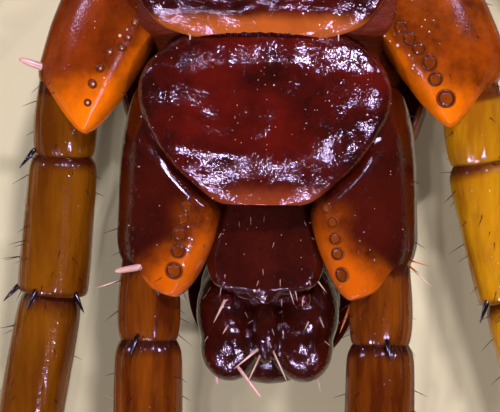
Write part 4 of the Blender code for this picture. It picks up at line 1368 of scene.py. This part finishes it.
# Bristles and stout spines that the photograph shows one by one: root and tip in its pixels, the level of
# each above the floor, and the radius at the root.
SEEN_BRISTLES = {
    "pale": (
        ((186, 37), (186, 51), 1.42, 1.40, 0.008), ((336, 34), (336, 48), 1.42, 1.40, 0.006),
        ((121, 283), (96, 291), 0.95, 0.96, 0.010), ((226, 301), (216, 322), 1.04, 1.10, 0.013),
        ((228, 320), (226, 332), 0.95, 0.98, 0.010), ((252, 352), (238, 368), 0.93, 1.00, 0.012),
        ((258, 358), (250, 384), 0.90, 0.95, 0.009),
        ((282, 352), (291, 383), 0.90, 0.95, 0.009), ((305, 295), (304, 303), 1.04, 1.12, 0.008),
        ((324, 316), (325, 324), 0.90, 0.95, 0.010), ((310, 320), (308, 326), 0.90, 0.95, 0.008),
        ((320, 372), (324, 392), 0.66, 0.62, 0.010),
        ((290, 288), (296, 304), 1.06, 1.10, 0.005), ((296, 285), (299, 300), 1.06, 1.10, 0.005),
        ((168, 299), (170, 308), 1.02, 1.04, 0.009), ((183, 295), (186, 301), 1.02, 1.04, 0.009),
        ((407, 309), (417, 316), 0.95, 0.98, 0.012), ((413, 262), (433, 284), 0.98, 1.00, 0.009),
        ((119, 403), (101, 396), 0.62, 0.60, 0.012), ((126, 284), (123, 292), 1.00, 1.02, 0.007),
        ((140, 285), (136, 291), 1.00, 1.02, 0.007), ((329, 286), (328, 291), 1.02, 1.04, 0.007),
    ),
    "stout": (
        ((146, 268), (115, 274), 1.20, 1.24, 0.030), ((45, 45), (14, 62), 1.05, 1.05, 0.036),
        ((241, 369), (264, 397), 0.86, 0.88, 0.016), ((217, 366), (221, 385), 0.70, 0.68, 0.020),
    ),
    "orange": (
        ((344, 303), (342, 331), 1.00, 1.03, 0.015), ((414, 256), (431, 263), 1.00, 1.02, 0.009),
        ((413, 262), (420, 270), 1.00, 1.02, 0.009), ((174, 305), (174, 330), 0.95, 0.95, 0.004),
    ),
}


# Bright round sockets of fine bristles on the hips, as pixels of the photograph with their widths. Their pale
# beads are also painted highlights at the glints.
SEEN_SOCKET_GLINTS = {
    (14, -1): ((130.7, 24.4, 2.6), (123.1, 31.1, 2.8), (116, 37.4, 4.6), (124.7, 39, 3.0), (106.3, 53.9, 3.4),
               (118.2, 50.1, 2.6), (96.9, 70.5, 3.0), (89.8, 86.4, 4.0), (100.9, 80, 3.0),
               (84.6, 105.2, 3.8)),
    (14, 1): ((389.4, 12.1, 2.4), (396.2, 29.5, 2.2), (382, 34, 3.2), (387.3, 39.3, 2.4), (395, 43.4, 4.6),
              (406.5, 53.1, 2.8), (414.4, 50.4, 2.8), (418.4, 42.3, 2.4), (411.3, 63.1, 3.0),
              (410.3, 66.2, 2.6), (416.4, 71.3, 2.8), (426, 29.3, 2.6), (418.4, 24.4, 2.0),
              (421.6, 17.6, 2.2)),
}


def rooted(place, trees):
    """A place in the skin as it is, and any other moved to the nearest point a little under the surface."""
    point, normal, _, _ = min((tree.find_nearest(place) for tree in trees), key=lambda found: found[3])
    return place if (place - point).dot(normal) < 0.0 else point - normal * 0.008


def bristles(master, plates, hips, legs, tail):
    """Short bristles on legs, hips and belly: sparse and fine, lying back towards the tail."""
    back = Vector((0.0, -1.0, 0.0))
    dark = []
    for (number, side), piece in legs.items():
        joints = [PLACES[number] @ p for p in leg_joints(number, side)]
        lie = (joints[-1] - joints[0]).normalized() * 0.5
        count = REAR_LEG_BRISTLES if number in REAR_LEGS else LEG_BRISTLES
        dark += sprinkled(piece, count, LEG_BRISTLE_SIZE, lie, SEED + 7 * number + side)
    for (number, side), piece in hips.items():
        dark += sprinkled(piece, HIP_BRISTLES, HIP_BRISTLE_SIZE, back * 0.5, SEED + 11 * number + side, 0.0)
    dark = [frame for frame in dark if (frame @ Vector((0.0, 0.0, 1.0))).z > LOWEST_BRISTLE_TIP]
    settle(repeated("leg_bristles", master, dark), DARK_BRISTLE)
    pale = []
    for number, piece in plates.items():
        pale += sprinkled(piece, PLATE_BRISTLES, PLATE_BRISTLE_SIZE, back * 0.8, SEED + 13 * number, 0.3)
    for piece in tail:
        pale += sprinkled(piece, TAIL_BRISTLES, TAIL_BRISTLE_SIZE, back * 0.9, SEED + 3, 0.2)
    settle(repeated("belly_bristles", master, pale), PALE_BRISTLE)


def sockets_and_painted_glints(plates, hips, tail, camera_at):
    """Bright round sockets, whose pale beads are also painted highlights: those that the photograph shows,
    and finer ones scattered among them.
    """
    bead = drawn_out("master_socket", ((-0.6, 0.9), (0.3, 1.0), (0.8, 0.6), (1.0, 0.06)), 6)
    frames = []
    for key, spots in SEEN_SOCKET_GLINTS.items():
        tree = tree_of(hips[key])
        for px, py, wide in spots:
            point, normal = seen_from_camera(tree, px, py, camera_at)
            if point is not None:
                radius = 0.5 * wide / PX_PER_MM
                frames.append(pointing(point, normal, radius, radius, radius))
    scattered = (plates[15], 150), (plates[14], 60), (hips[15, -1], 50), (hips[15, 1], 50), (tail[1], 40)
    for piece, count in scattered:
        frames += sprinkled(piece, count, SOCKET_SIZE, Vector(), SEED + count, 0.6)
    # Pale beads: bristle sockets, and painted glints of light.
    settle(repeated("belly_sockets_painted_glints", bead, frames), PALE_BRISTLE)
    bpy.data.objects.remove(bead)


def fringe_with_painted_shadow(master, camera_at):
    """The fine dark hairs under the rear rim of belly plate 14, close enough to make a dark ragged line:
    partly hairs, partly a painted shadow of the rim.
    """
    draw = random.Random(SEED + 14)
    frames = []
    for _ in range(FRINGE_HAIRS):
        px = draw.uniform(212.0, 312.0)
        root = beside(px, 31.0, 1.43, camera_at)
        tip = beside(px + draw.uniform(-2, 2), draw.uniform(35, 39), 1.42, camera_at)
        frames.append(pointing(root, tip - root, FRINGE_HAIR_RADIUS, FRINGE_HAIR_RADIUS, (tip - root).length))
    # Dark hairs packed under the rim: painted shadow of the rim as well as hairs.
    settle(repeated("belly_fringe_painted_shadow", master, frames), DARK_BRISTLE)


def seen_bristles(master, plates, hips, legs, tail, camera_at):
    """The single bristles and stout spines that the photograph shows, each grown from the nearest skin."""
    spine = drawn_out("master_spine", (
        (0.0, 0.55), (0.03, 0.85), (0.25, 1.0), (0.7, 0.9, 0.1), (0.95, 0.65, 0.2), (1.0, 0.2, 0.2)), 8)
    near = [piece for (number, _), piece in {**hips, **legs}.items() if number in REAR_LEGS]
    trees = [tree_of(piece) for piece in [*near, *tail, plates[14], plates[15]]]
    for kind, finish in (("pale", PALE_BRISTLE), ("orange", ORANGE_BRISTLE), ("stout", PINK_SPINE)):
        frames = []
        for start, end, root_level, tip_level, radius in SEEN_BRISTLES[kind]:
            root = rooted(beside(*start, root_level, camera_at), trees)
            tip = beside(*end, tip_level, camera_at)
            frames.append(pointing(root, tip - root, radius, radius, (tip - root).length))
        form = spine if kind == "stout" else master
        settle(repeated(f"seen_{kind}_bristles", form, frames), finish)
    bpy.data.objects.remove(spine)


build()
